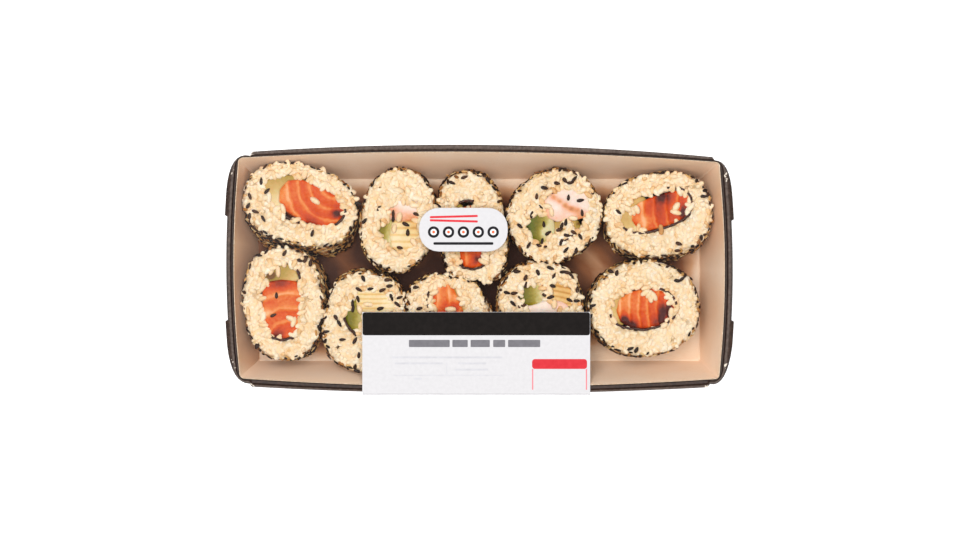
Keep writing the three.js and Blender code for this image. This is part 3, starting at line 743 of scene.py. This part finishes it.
for number, roll in enumerate(rolls):
    node = f"rice_{number + 1:02d}"
    draw = np.random.default_rng(100 + number)
    top = floor_top + roll["height"]
    core = roll["core"]
    places, normals, up, side = outside(node, core[:2])
    laid, tints = [], []

    def add_grain(point, facing, tilt, stands_out, own_tint):
        laid.append(lay(point, facing, grain_size, stands_out, draw.uniform(0, 2 * math.pi), tilt, draw))
        tints.append(own_tint)

    def drag_grain(x, y, stands_out):
        add_grain((x, y, top), (0, 0, 1), draw.normal(0, dragged_tilt), draw.uniform(*stands_out),
                  draw.normal(*grain_tints["dragged"]))

    # Grain ends and sides fill the cut face; a few have lost their cream colour.
    for point, normal in zip(*darts(places[up], normals[up], grain_spacing["face"], draw)):
        tilt = math.radians(draw.choice(grain_tilts) + draw.uniform(-tilt_varies, tilt_varies))
        own_tint = draw.normal(*grain_tints["face" if draw.random() > browned_share else "browned"])
        add_grain(point, normal, tilt, grain_stands_out * draw.uniform(*face_stands_out), own_tint)
    # On the round side they are pressed flat and keep their brown coat, and are tinted darker still as painted
    # shade.
    for point, normal in zip(*darts(places[side], normals[side], grain_spacing["side"], draw)):
        if point[2] > lowest_grain:
            coat = grain_tints["shoulder" if point[2] > top - edge_band else "side"]
            add_grain(point, normal, draw.normal(0, side_tilt), grain_stands_out, draw.normal(*coat))
    # They close in over the seaweed wherever its edge is sunk.
    off, stands_out = strays["edge"]
    for angle in np.arange(0, 2 * math.pi, grain_spacing["edge"] / (0.5 * (core[2] + core[3]))):
        if not sheet_shows(roll, angle):
            drag_grain(*oval_point(core, angle, draw.uniform(-off, off)), stands_out)
    # The knife has dragged some over the fillings.
    off, stands_out = strays["filling"]
    reach = max(core[2:4])
    for x in np.arange(core[0] - reach, core[0] + reach, grain_spacing["edge"]):
        for y in np.arange(core[1] - reach, core[1] + reach, grain_spacing["edge"]):
            spot_x, spot_y = x + draw.uniform(-off, off), y + draw.uniform(-off, off)
            open_to = [oval_depth(oval, spot_x, spot_y, clear_of_filling) for oval in roll["clear"]]
            if oval_depth(core, spot_x, spot_y) < 1 and min(open_to) > 1:
                drag_grain(spot_x, spot_y, stands_out)
    for x, y in roll["crumbs"]:
        add_grain((x, y, top + crumb["lift"]), (0, 0, 1), crumb["tilt"], crumb["stands_out"], crumb["tint"])

    vertices, faces = copies(grain, laid)
    heart = welded(node)
    for vert in heart.verts:
        vert.co -= vert.normal * core_shrinks * MM
    heart_points = np.array([v.co for v in heart.verts])
    heart_faces = [[v.index for v in face.verts] for face in heart.faces]
    heart.free()
    parts = [
        (vertices, faces, np.repeat(np.clip(tints, *tint_limits), len(grain.verts))),
        (heart_points, heart_faces, np.full(len(heart_points), core_shade_tint)),
    ]
    place(f"brown_rice_{number + 1:02d}", heap(node, parts), [brown_rice], "rice", node)

# ---------------------------------------------------------------- sesame
# Black and toasted sesame sticks to the round sides, where the roll was turned in it, and a few seeds fall on
# the cut faces or beside them on the slope. A seed is a flat drop, about three millimetres long.

seed_size = (3.1, 1.8, 0.9)
seed_spacing = {"black": 2.1, "toasted": 2.5}
clump_size = 9.0
stray_share = 0.3
seed_stands_out = {"side": 0.9, "face": 1.2}
seed_tilt = {"side": 0.15, "face": 0.1}
seed_taper = 0.4
# Seeds coat the side and the shoulder, which starts so far below the top. A listed seed further down than the
# drop lies on the slope there.
shoulder_drop = 0.9
seed_drop = 2.5
lowest_seed = 3.0
search_height = 5

seed = bmesh.new()
bmesh.ops.create_uvsphere(seed, u_segments=6, v_segments=5, radius=0.5)
bmesh.ops.rotate(seed, verts=seed.verts, matrix=Matrix.Rotation(math.pi / 2, 3, "Y"))
for vert in seed.verts:
    vert.co.yz *= 1 - seed_taper * (vert.co.x + 0.5)

sesame_coats = {
    # Roasted black sesame: a matt coat that catches a small soft highlight.
    "black": ("roasted_black_sesame", [(0.1, "#200d02"), (0.6, "#331805"), (0.95, "#4a280e")]),
    # Toasted white sesame: cream to deep gold, by how long each seed was in the pan.
    "toasted": ("toasted_white_sesame", [
        (0.05, "#8a5426"), (0.35, "#b97e3c"), (0.7, "#d8aa66"), (0.95, "#ecd09a"),
    ]),
}
for kind, (title, stops) in sesame_coats.items():
    coat, tree, shader, coords = new_material(title, Roughness=0.6, Specular_IOR_Level=0.3)
    tint = add(tree, "Attribute", {}, output="Fac", attribute_name="tint")
    pits = add(tree, "TexNoise", {"Vector": coords, "Scale": per(0.5), "Detail": 2.0})
    tones = add(tree, "ValToRGB", {"Fac": uneven(tree, tint, pits, 0.4)}, stops)
    dress(tree, shader, tones, pits, 0.4, 0.1)

    laid = []
    for number, roll in enumerate(rolls):
        draw = np.random.default_rng(200 + number)
        top = floor_top + roll["height"]
        places, normals, up, side = outside(f"rice_{number + 1:02d}", roll["core"][:2])
        corners_of = np.arange(places.size // 3).reshape(-1, 3)
        surface = BVHTree.FromPolygons(places.reshape(-1, 3).tolist(), corners_of.tolist())
        coated = side | up & (places[:, :, 2].mean(axis=1) < top - shoulder_drop)
        # Each roll and each kind has clumps of its own.
        clumps = Vector((0, 0, 9 * number + 5 * (kind == "black")))
        for point, normal in zip(*darts(places[coated], normals[coated], seed_spacing[kind], draw)):
            clump = noise.noise(Vector(point) / clump_size + clumps)
            if point[2] > lowest_seed and (clump > 0 or draw.random() < stray_share):
                turn = draw.uniform(0, 2 * math.pi)
                laid.append(lay(point, normal, seed_size, seed_stands_out["side"], turn,
                                draw.normal(0, seed_tilt["side"]), draw))
        for x, y, turn in roll["seeds"] if kind == "black" else ():
            below, slope = surface.ray_cast((x, y, top + search_height), (0, 0, -1))[:2]
            if not below:
                below, slope = surface.find_nearest((x, y, top - seed_drop))[:2]
            if below.z > top - seed_drop or oval_depth(roll["core"], x, y) < 1:
                below, slope = (x, y, top), (0, 0, 1)
            laid.append(lay(below, slope, seed_size, seed_stands_out["face"], math.radians(turn),
                            draw.normal(0, seed_tilt["face"]), draw))
    vertices, faces = copies(seed, laid)
    tints = np.repeat(np.random.default_rng(300).random(len(laid)), len(seed.verts))
    place(title, heap(title, [(vertices, faces, tints)]), [coat], "sesame")

# ---------------------------------------------------------------- seaweed
# One sheet of roasted seaweed wraps each roll's fillings. It is softened by the rice and pulled into small
# waves, and most of its edge is sunk below the grains.

seaweed_thickness = 0.9
seaweed_outside = 0.1
seaweed_foot = 0.2
seaweed_sunk = 2.2
seaweed_proud = 0.5
seaweed_steps = 96
seaweed_heights = [0, 0.5, 0.9, 1]
# How much the sheet waves up and down and in and out, and how far round a wave is felt.
wave_height, wave_width, wave_pitch = 0.5, 0.6, 0.3

# Roasted seaweed: brown-black and fibrous, and softened by the rice so that it shines a little.
roasted_seaweed = patterned(
    "roasted_seaweed_sheet", 1.0, 5.0, [(0.3, "#260f03"), (0.55, "#421a06"), (0.8, "#6e2e0e")], 0.5, 0.2,
    Roughness=0.4, Specular_IOR_Level=0.35,
)

for number, roll in enumerate(rolls):

    def sheet_ring(height, grow):
        """A line round the sheet at a share of its height; each roll has waves of its own."""
        ring = []
        for i in range(seaweed_steps):
            angle = 2 * math.pi * i / seaweed_steps
            wave = noise.noise(Vector((i * wave_pitch, number * 7.0, 0)))
            edge = seaweed_proud if sheet_shows(roll, angle) else -seaweed_sunk
            top = floor_top + roll["height"] + edge + wave_height * wave
            z = floor_top + seaweed_foot + height * (top - floor_top - seaweed_foot)
            point = oval_point(roll["core"], angle, grow + wave_width * wave * height)
            point += Vector(roll["lean"]) * (1 - (z - floor_top) / roll["height"])
            ring.append(Vector((*point, z)) * MM)
        return ring

    sheet = bmesh.new()
    outer, inner = seaweed_outside, seaweed_outside - seaweed_thickness
    up_outside = [sheet_ring(height, outer) for height in seaweed_heights]
    down_inside = [sheet_ring(height, inner) for height in seaweed_heights[::-1]]
    loft(sheet, [*up_outside, *down_inside, up_outside[0]])
    bmesh.ops.recalc_face_normals(sheet, faces=sheet.faces)
    node = f"nori_{number + 1:02d}"
    place(f"seaweed_{number + 1:02d}", mesh_of(sheet, node), [roasted_seaweed], "nori", node)

# ---------------------------------------------------------------- fillings
# Strips of raw salmon, cooked shrimp, avocado, omelette and cucumber run through each roll and are cut with
# it. The knife leaves their ends soft-edged and uneven.

voxel = 0.6
softening = 2
swelling = 0.35
# The cut end is loosened from this far below the top over so much: it rises, is bumpy and steps at each
# flake.
loosened_from, loosened_over = 3, 2
cut_rise, cut_bumps, flake_step = 0.35, 0.35, 0.35
bump_pitch = 0.35
line_wobble = 0.1
drift = 0.02

# The salmon's muscle lies in arcs round one point: x and y of it, the radius of one pale line and the spacing
# of the lines.
flakes = {
    1: (-60.8, 35.3, 14.2, 4.8),
    3: (-20, 4, 14, 5),
    5: (110, 28, 31.4, 4.9),
    6: (-79, -32, 15.5, 5.8),
    8: (-30, -12, 12, 5),
    10: (100, -16, 33, 3.8),
}
# Places where a filling is paler or darker than the rest: x, y, radius and how much. The darker places along
# a filling's edge are painted shade where it meets the seaweed and rice.
spots_and_shade = {
    1: [(-82.5, 31, 4.5, 0.22), (-59.5, 23.8, 2.2, -0.7), (-70, 19.5, 4, -0.3)],
    2: [(-32, 24.5, 4, 0.2), (-27, 19, 3, -0.3), (-37, 12, 5, 0.2)],
    3: [(0, 4.5, 2.2, -0.7), (-6, -0.5, 2.5, -0.5)],
    4: [
        (32, 24.5, 3.2, 0.5), (38, 22.5, 3.2, 0.4), (31, 30.3, 1.5, -0.6), (33.5, 28.6, 1.5, -0.65),
        (36, 27, 1.5, -0.7), (38.5, 25.6, 1.5, -0.65), (41, 25, 1.5, -0.4), (27.5, 15.5, 3, 0.42),
        (41.4, 19, 2, -0.5), (26.5, 29, 2, -0.3),
    ],
    5: [
        (75, 26, 9, -0.22), (77, 31, 3, -0.6), (84.5, 24.5, 3, -0.8), (82.6, 25.4, 2.4, 0.8),
        (69, 20.5, 3.5, 0.4), (67, 28.5, 3, 0.4), (63, 20.5, 3.5, -0.3), (64, 22, 2.5, 0.3),
    ],
    6: [
        (-84, -28.5, 3.2, -0.6), (-81, -2, 4, -0.28), (-87.5, -2.7, 2.8, -0.9), (-82, -10, 5, 0.15),
        (-90, -18, 3, 0.3), (-83, -5, 3.5, -0.38),
    ],
    7: [(-37, -14.5, 3.5, 0.3)],
    8: [(-13.5, -11, 4, 0.15), (-18.5, -7, 2.5, 0.45), (-12, -15.2, 2.5, -0.3), (-9.5, -12, 2, 0.3)],
    9: [(36, -10, 6, -0.34), (33, -5, 3, -0.2), (26, -15, 4, 0.12)],
    10: [
        (60.5, -21.5, 2.4, -0.9), (63.5, -23.6, 1.8, -0.8), (60, -12.5, 5.5, 0.22), (78.5, -17, 3.5, -0.8),
        (75.5, -22, 3, -0.6), (66, -25, 4, -0.3),
    ],
}


def soft_strip(node, kind, oval, roll_number, top):
    """A solid's mesh remeshed and swollen a little, with soft edges and an uneven cut face. Its section is a
    place in the filling's own pattern, and its tone is how much paler or darker the listed spots make it; the
    darker spots at its edge are painted shade."""
    x, y, half_length, half_width, turn = oval
    holder = bpy.data.objects.new("holder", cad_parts[node].data.copy())
    bpy.context.scene.collection.objects.link(holder)
    remesh = holder.modifiers.new("voxels", "REMESH")
    remesh.mode = "VOXEL"
    remesh.voxel_size = voxel * MM
    evaluated = holder.evaluated_get(bpy.context.evaluated_depsgraph_get())
    strip = bmesh.new()
    strip.from_mesh(evaluated.to_mesh())
    bpy.data.objects.remove(holder)
    for _ in range(softening):
        bmesh.ops.smooth_vert(strip, verts=strip.verts, factor=0.5, use_axis_x=True, use_axis_y=True,
                              use_axis_z=True)
    strip.normal_update()
    section = strip.verts.layers.float_vector.new("section")
    tone = strip.verts.layers.float.new("tone")
    centre_x, centre_y, first, spacing = flakes.get(roll_number, (0, 0, 0, 1))
    for vert in strip.verts:
        px, py, pz = vert.co / MM
        bumpy = noise.noise(Vector((px, py, pz)) * bump_pitch)
        if kind == "salmon":
            ring = (math.dist((px, py), (centre_x, centre_y)) - first) / spacing
            along = math.atan2(py - centre_y, px - centre_x) * first / spacing
            vert[section] = (ring + line_wobble * bumpy, along, roll_number + drift * pz)
            step = flake_step * (ring % 1)
        else:
            along, across = turned(px - x, py - y, -turn)
            vert[section] = (along / half_length, across / half_width, roll_number + drift * pz)
            step = 0.0
        vert[tone] = sum(
            amount * math.exp(-(math.dist((px, py), (spot_x, spot_y)) / radius) ** 2)
            for spot_x, spot_y, radius, amount in spots_and_shade[roll_number]
        )
        near_top = min(1.0, max(0.0, (pz - top + loosened_from) / loosened_over))
        swollen = swelling * (1 - near_top) + swelling * near_top * (1 - abs(vert.normal.z))
        vert.co += vert.normal * swollen * MM
        vert.co.z += near_top * (cut_rise + cut_bumps * bumpy - step) * MM
    return mesh_of(strip, node)


def flesh(title, stops, roughness, pattern):
    """A moist flesh: its colour goes along the stops by the pattern, the spots (some painted shade) and
    fibres.
    """
    made, tree, shader, coords = new_material(
        title, Roughness=roughness, Subsurface_Weight=0.15, Subsurface_Scale=1.0 * MM, IOR=1.4,
        Specular_IOR_Level=0.18,
    )
    section = add(tree, "Attribute", {}, output="Vector", attribute_name="section")
    tone = add(tree, "Attribute", {}, output="Fac", attribute_name="tone")
    fibre = add(tree, "TexNoise", {"Vector": coords, "Scale": per(1.3), "Detail": 4.0})
    toned = add(tree, "Math", {0: pattern(tree, section), 1: tone}, operation="ADD")
    colour = add(tree, "ValToRGB", {"Fac": uneven(tree, toned, fibre, 0.3)}, stops)
    dress(tree, shader, colour, fibre, 0.35, 0.3)
    return made


# A wave texture at scale 1 has a wave every pi / 10 units, so this scale gives one wave to one unit.
one_wave = math.pi / 10


def fat_lines(tree, section):
    """Each flake of muscle has a pale edge of fat and grows deeper in colour behind it."""
    saw = add(tree, "TexWave", {
        "Vector": section, "Scale": one_wave, "Distortion": 0.12, "Detail": 1.0, "Detail Scale": 1.0,
    }, output="Fac", wave_profile="SAW")
    return add(tree, "ValToRGB", {"Fac": saw}, [
        (0.01, 0.62), (0.1, 0.78), (0.2, 0.76), (0.38, 0.59), (0.85, 0.52), (0.99, 0.62),
    ])


def orange_bands(tree, section):
    """The curled flesh is pearly, with orange bands where its skin was."""
    bent = add(tree, "Mapping", {"Vector": section, "Rotation": (0, 0, math.radians(28))})
    wave = add(tree, "TexWave", {
        "Vector": bent, "Scale": 0.13, "Distortion": 2.5, "Detail": 2.0, "Detail Scale": 0.8,
        "Phase Offset": 2.0,
    }, output="Fac", bands_direction="Y")
    return add(tree, "ValToRGB", {"Fac": wave}, [(0.04, 0.3), (0.2, 0.52), (0.5, 0.82)])


def rolled_sheets(tree, section):
    """Thin sheets of egg are rolled up, and a darker line parts each from the next."""
    wave = add(tree, "TexWave", {
        "Vector": section, "Scale": 0.9, "Distortion": 1.2, "Detail": 2.0, "Detail Scale": 1.0,
    }, output="Fac", bands_direction="Y")
    return add(tree, "ValToRGB", {"Fac": wave}, [(0.05, 0.46), (0.35, 0.66), (0.9, 0.76)])


def skin_to_seeds(tree, section):
    """Dark skin on one side, then paler flesh towards the seeds."""
    across = add(tree, "SeparateXYZ", {"Vector": section}, output="X")
    return add(tree, "MapRange", {"Value": across, "From Min": -1.0, "From Max": 0.9})


def peel_to_stone(tree, section):
    """Greener under the peel, and yellow where the stone was."""
    across = add(tree, "SeparateXYZ", {"Vector": section}, output="Y")
    return add(tree, "MapRange", {"Value": across, "From Min": 1.2, "From Max": -1.0})


flesh_materials = {
    # Raw salmon: wet orange muscle between thin pale lines of fat.
    "salmon": flesh("raw_salmon", [
        (0.02, "#4a1006"), (0.2, "#8e2a08"), (0.38, "#bc3a04"), (0.55, "#d14d08"), (0.76, "#e0803c"),
        (0.97, "#f0ae7c"),
    ], 0.45, fat_lines),
    # Cooked shrimp: firm pearly flesh, streaked orange under the skin.
    "shrimp": flesh("cooked_shrimp", [
        (0.05, "#a8602f"), (0.3, "#de9768"), (0.5, "#e8b498"), (0.72, "#e8c9b6"), (0.95, "#ecdccf"),
    ], 0.45, orange_bands),
    # Ripe avocado: butter-soft, yellow inside and greener under the peel.
    "avocado": flesh("ripe_avocado", [
        (0.02, "#6f4820"), (0.2, "#a08838"), (0.45, "#c39c5a"), (0.7, "#d0b070"), (0.95, "#e0c898"),
    ], 0.5, peel_to_stone),
    # Rolled omelette: thin yellow layers with fine pores.
    "omelette": flesh("rolled_omelette", [
        (0.1, "#bd8440"), (0.4, "#daae6a"), (0.65, "#e6c88e"), (0.9, "#efdab2"),
    ], 0.6, rolled_sheets),
    # Cucumber: glassy pale flesh inside a dark green skin.
    "cucumber": flesh("cut_cucumber", [
        (0.05, "#343e02"), (0.2, "#586002"), (0.4, "#6c6402"), (0.56, "#80720c"), (0.72, "#a08e38"),
        (0.85, "#bcac68"), (0.95, "#d0c494"),
    ], 0.4, skin_to_seeds),
}

for number, roll in enumerate(rolls):
    for kind, *oval in roll["fillings"]:
        node = f"{kind}_{number + 1:02d}"
        mesh = soft_strip(node, kind, oval, number + 1, floor_top + roll["height"])
        place(f"{flesh_materials[kind].name}_{number + 1:02d}", mesh, [flesh_materials[kind]], kind, node)

# ---------------------------------------------------------------- film
# A clear polypropylene film is heat-sealed to the rim. It is stretched flat, with small puckers along the
# seal.

film_bottom, film_thickness, film_seal = 34.05, 0.15, 0.7
film_shares = [1.0, 0.985, 0.96, 0.9, 0.75, 0.5, 0.25]
pucker = 0.1
pucker_pitch = 90
held_flat = 12

# Clear film: almost nothing of it shows but a faint soft gloss.
clear_film = patterned(
    "clear_polypropylene_film", 9.0, 2.0, [(0.3, "#3a3836"), (0.7, "#484644")], 0.1, 0.3, Roughness=0.12,
    Alpha=0.02,
)

rim = []
for k, wall in enumerate(walls):
    after = walls[(k + 1) % 4]
    near, first = tight_corner / wall["length"], tight_corner / after["length"]
    along = [wall_point(wall, share, 1.0, film_seal) for share in np.linspace(near, 1 - near, long_steps)]
    round_corner = fold(along[-1], wall_point(after, first, 1.0, film_seal), wall)
    rim += [Vector((*point, film_bottom)) * MM for point in (*along, *round_corner)]
hub = sum(rim, Vector()) / len(rim)


def film_ring(share, lift):
    """A line round the film, so far out from its middle; it puckers, but for the rim, which holds it flat."""
    ring = [hub.lerp(point, share) for point in rim]
    for point in ring:
        ripple = 0.5 + 0.5 * noise.noise(Vector((point.x, point.y, 0)) * pucker_pitch)
        point.z += (pucker * ripple * (1 - share**held_flat) + lift) * MM
    return ring


film_bm = bmesh.new()
lower = [film_ring(share, 0.0) for share in film_shares[::-1]]
upper = [film_ring(share, film_thickness) for share in film_shares]
loft(film_bm, lower + upper)
bmesh.ops.holes_fill(film_bm, edges=film_bm.edges, sides=0)
bmesh.ops.recalc_face_normals(film_bm, faces=film_bm.faces)
place("clear_film", mesh_of(film_bm, "clear_film"), [clear_film], "film", "film")

# ---------------------------------------------------------------- sticker
# A small white paper sticker with round ends lies on the film. It is printed with a plain pattern: a pair of
# chopsticks over a row of round rolls.

# Coated paper: white, smooth and even, with hardly any tooth.
coated_paper = patterned(
    "coated_white_paper", 1.5, 4.0, [(0.3, "#cccacc"), (0.7, "#d2d0d2")], 0.05, 0.1, Roughness=0.5
)

sticker_round, sticker_edge = 8.2, 0.08
ink_thickness = 0.02
ink_unevenness = 10


def plate(low, high, round_by, bottom, top, edge=0.0, turn=0.0):
    """A flat plate with rounded corners and a softened upper edge; all in millimetres."""
    bm = bmesh.new()
    size = Vector((high[0] - low[0], high[1] - low[1], top - bottom)) * MM
    centre = Vector(((high[0] + low[0]) / 2, (high[1] + low[1]) / 2, (top + bottom) / 2)) * MM
    bmesh.ops.create_cube(bm, size=1, matrix=Matrix.Diagonal(size).to_4x4())
    upright = [e for e in bm.edges if abs(e.verts[0].co.z - e.verts[1].co.z) > size.z / 2]
    bmesh.ops.bevel(bm, geom=upright, offset=round_by * MM, offset_type="OFFSET", segments=6, profile=0.5,
                    affect="EDGES", material=-1)
    if edge:
        upper = [e for e in bm.edges if min(v.co.z for v in e.verts) > size.z / 2 - 1e-8]
        bmesh.ops.bevel(bm, geom=upper, offset=edge * MM, offset_type="OFFSET", segments=2, profile=0.5,
                        affect="EDGES", material=-1)
    bm.transform(Matrix.Translation(centre) @ Matrix.Rotation(math.radians(turn), 4, "Z"))
    return bm


def printed(title, code, fields, height, lies=Matrix(), roughness=0.6):
    """Fields of one ink on paper, as thin as ink: left, right, front, back, corner radius and turn of each.
    They are drawn flat at a height, then lie as the matrix says; the title starts with the paper's name."""
    light = "#" + "".join(f"{min(255, int(code[i : i + 2], 16) + ink_unevenness):02x}" for i in (1, 3, 5))
    ink = patterned(
        title, 2.0, 2.0, [(0.35, code), (0.75, light)], Roughness=roughness, Specular_IOR_Level=0.1
    )
    together = bmesh.new()
    for left, right, front, back, round_by, *turn in fields:
        field = plate((left, front), (right, back), round_by, height, height + ink_thickness, turn=sum(turn))
        together.from_mesh(mesh_of(field, title))
    together.transform(lies)
    place(title, mesh_of(together, title, smooth=False), [ink], title.split("_")[0])


sticker_low, sticker_high = (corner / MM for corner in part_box("sticker"))
sticker_bm = plate(sticker_low, sticker_high, sticker_round, sticker_low.z, sticker_high.z, edge=sticker_edge)
place("white_sticker", mesh_of(sticker_bm, "sticker", smooth=False), [coated_paper], "sticker", "sticker")
middle_x, middle_y = (sticker_low.x + sticker_high.x) / 2, (sticker_low.y + sticker_high.y) / 2
dots = [middle_x + 6.2 * k for k in (-2, -1, 0, 1, 2)]
printed("sticker_black_ink", "#17161a", [
    *((x - 2.4, x + 2.4, middle_y - 3.4, middle_y + 1.4, 2.35) for x in dots),
    (middle_x - 12.5, middle_x + 12.5, middle_y - 6.3, middle_y - 5.2, 0.5),
], sticker_high.z)
printed("sticker_red_ink", "#d8343c", [
    (middle_x - 14, middle_x + 6, middle_y + 5.0, middle_y + 5.9, 0.4, 1.5),
    (middle_x - 14, middle_x + 6, middle_y + 3.2, middle_y + 4.1, 0.4, -1.5),
], sticker_high.z)
printed("sticker_white_ink", "#f4f4f6", [
    (x - 1.3, x + 1.3, middle_y - 2.3, middle_y + 0.3, 1.25) for x in dots
], sticker_high.z + ink_thickness)
printed("sticker_orange_ink", "#ea6a3c", [
    (x - 0.6, x + 0.6, middle_y - 1.6, middle_y - 0.4, 0.55) for x in dots
], sticker_high.z + 2 * ink_thickness)

# ---------------------------------------------------------------- label
# The price label is thermal paper with a black band across its head and a red frame for the price. It lies on
# the film, bends over the front rim and hangs down the wall.

label_bm = welded("label")
bmesh.ops.dissolve_limit(label_bm, angle_limit=math.radians(1), verts=label_bm.verts, edges=label_bm.edges)
label_bm.normal_update()
# The hanging part is the largest face that looks forwards; a matrix lays what is printed there on it.
hanging = max((f for f in label_bm.faces if f.normal.y < -0.5), key=lambda f: f.calc_area())
sideways, out_of_wall = Vector((1, 0, 0)), hanging.normal.copy()
on_wall = Matrix((sideways, out_of_wall.cross(sideways), out_of_wall)).transposed().to_4x4()
on_wall.translation = hanging.calc_center_median()
place("price_label", mesh_of(label_bm, "label", smooth=False), [coated_paper], "label", "label")

label_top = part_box("label")[1].z / MM
printed("label_black_ink", "#0c0604", [(-48.6, 46.1, -27.3, -17.7, 1.0)], label_top)
grey_blocks = [(-29.3, 17), (-11.2, 6.4), (-3.6, 8), (5.8, 5), (12, 13.4)]
printed("label_dark_grey_ink", "#737176", [
    (x, x + width, -32.2, -29.2, 0.3) for x, width in grey_blocks
], label_top)
printed("label_light_grey_ink", "#c9c8cc", [
    (-36.4, 9.6, -36.9, -36.1, 0.2),
    (-35.2, -15.2, -39.4, -38.6, 0.2),
    (-8.8, 2.8, -39.4, -38.6, 0.2),
    (-10, 3.6, -42, -41.2, 0.2),
    (-36, 9.6, -44.1, -43.8, 0.1),
    (-13.7, -13.4, -43.8, -38.6, 0.1),
    (-27.2, -23.9, -45.8, -45, 0.2),
], label_top)
printed("label_red_ink", "#cf2832", [(22.0, 44.9, -41.3, -37.2, 1.2)], label_top, roughness=0.5)
printed("label_pale_red_ink", "#e88088", [
    (22.0, 22.5, -50, -41.3, 0.1),
    (44.4, 44.9, -50, -41.3, 0.1),
], label_top, roughness=0.5)

# The hanging part carries a block of black bars and a few lines.
bar_widths = (0.4, 1.0, 0.6, 0.4, 1.4, 0.5, 0.8)
bar_starts = [-38 + 1.9 * k for k in range(19)]
grey_lines = [(32, 3.6), (26, 1.2), (30, -1.2), (18, -3.6)]
printed("label_bars_ink", "#17161a", [
    (x, x + bar_widths[k % len(bar_widths)], -4.5, 4.5, 0.05) for k, x in enumerate(bar_starts)
], 0.0, on_wall)
printed("label_lines_ink", "#8f8d92", [
    (6, 6 + width, y, y + 0.8, 0.2) for width, y in grey_lines
], 0.0, on_wall)

# ---------------------------------------------------------------- table, lights and camera
# A white sweep that glows as a light table does, so that the carton hardly throws a shadow on it. Four
# softboxes light it from above, round a camera that looks straight down.

table_half = 3.0
white_sweep, *_ = new_material(
    "white_sweep", Roughness=0.9, Base_Color="#e8e8e8", Emission_Color="#ffffff", Emission_Strength=0.8
)
floor_bm = bmesh.new()
bmesh.ops.create_grid(floor_bm, x_segments=1, y_segments=1, size=table_half)
floor = bpy.data.objects.new("light_table", mesh_of(floor_bm, "light_table"))
floor.data.materials.append(white_sweep)
bpy.context.scene.collection.objects.link(floor)

studio_fill = 0.32
world = bpy.data.worlds.new("soft_studio")
world.use_nodes = True
world.node_tree.nodes["Background"].inputs["Color"].default_value = linear("#ffffff")
world.node_tree.nodes["Background"].inputs["Strength"].default_value = studio_fill
bpy.context.scene.world = world

# Four softboxes hang round the camera's line of sight, so that flat glossy things don't mirror one into it.
# The back left one is the key light: the walls on its side throw soft shade.
softbox_distance, softbox_lean, softbox_size = 1.77, 13.0, 0.55
for name, across, along, power in [
    ("front_left_softbox", -1, -1, 8.0),
    ("front_right_softbox", 1, -1, 4.5),
    ("back_right_softbox", 1, 1, 6.0),
    ("back_left_softbox", -1, 1, 12.5),
]:
    data = bpy.data.lights.new(name, "AREA")
    data.energy = power
    data.size = softbox_size
    light = bpy.data.objects.new(name, data)
    lean = math.radians(softbox_lean)
    sideways = Vector((across, along, 0)).normalized() * math.sin(lean)
    light.location = (sideways + Vector((0, 0, math.cos(lean)))) * softbox_distance
    light.rotation_euler = (-light.location).to_track_quat("-Z", "Y").to_euler()
    bpy.context.scene.collection.objects.link(light)

# The camera looks straight down through a long lens.
camera_data = bpy.data.cameras.new("camera")
camera_data.lens = 135
camera_data.sensor_width = 36
camera = bpy.data.objects.new("camera", camera_data)
camera.location = (0.00031, -0.0001, 1.534)
bpy.context.scene.collection.objects.link(camera)
bpy.context.scene.camera = camera
bpy.context.scene.view_settings.view_transform = "Standard"
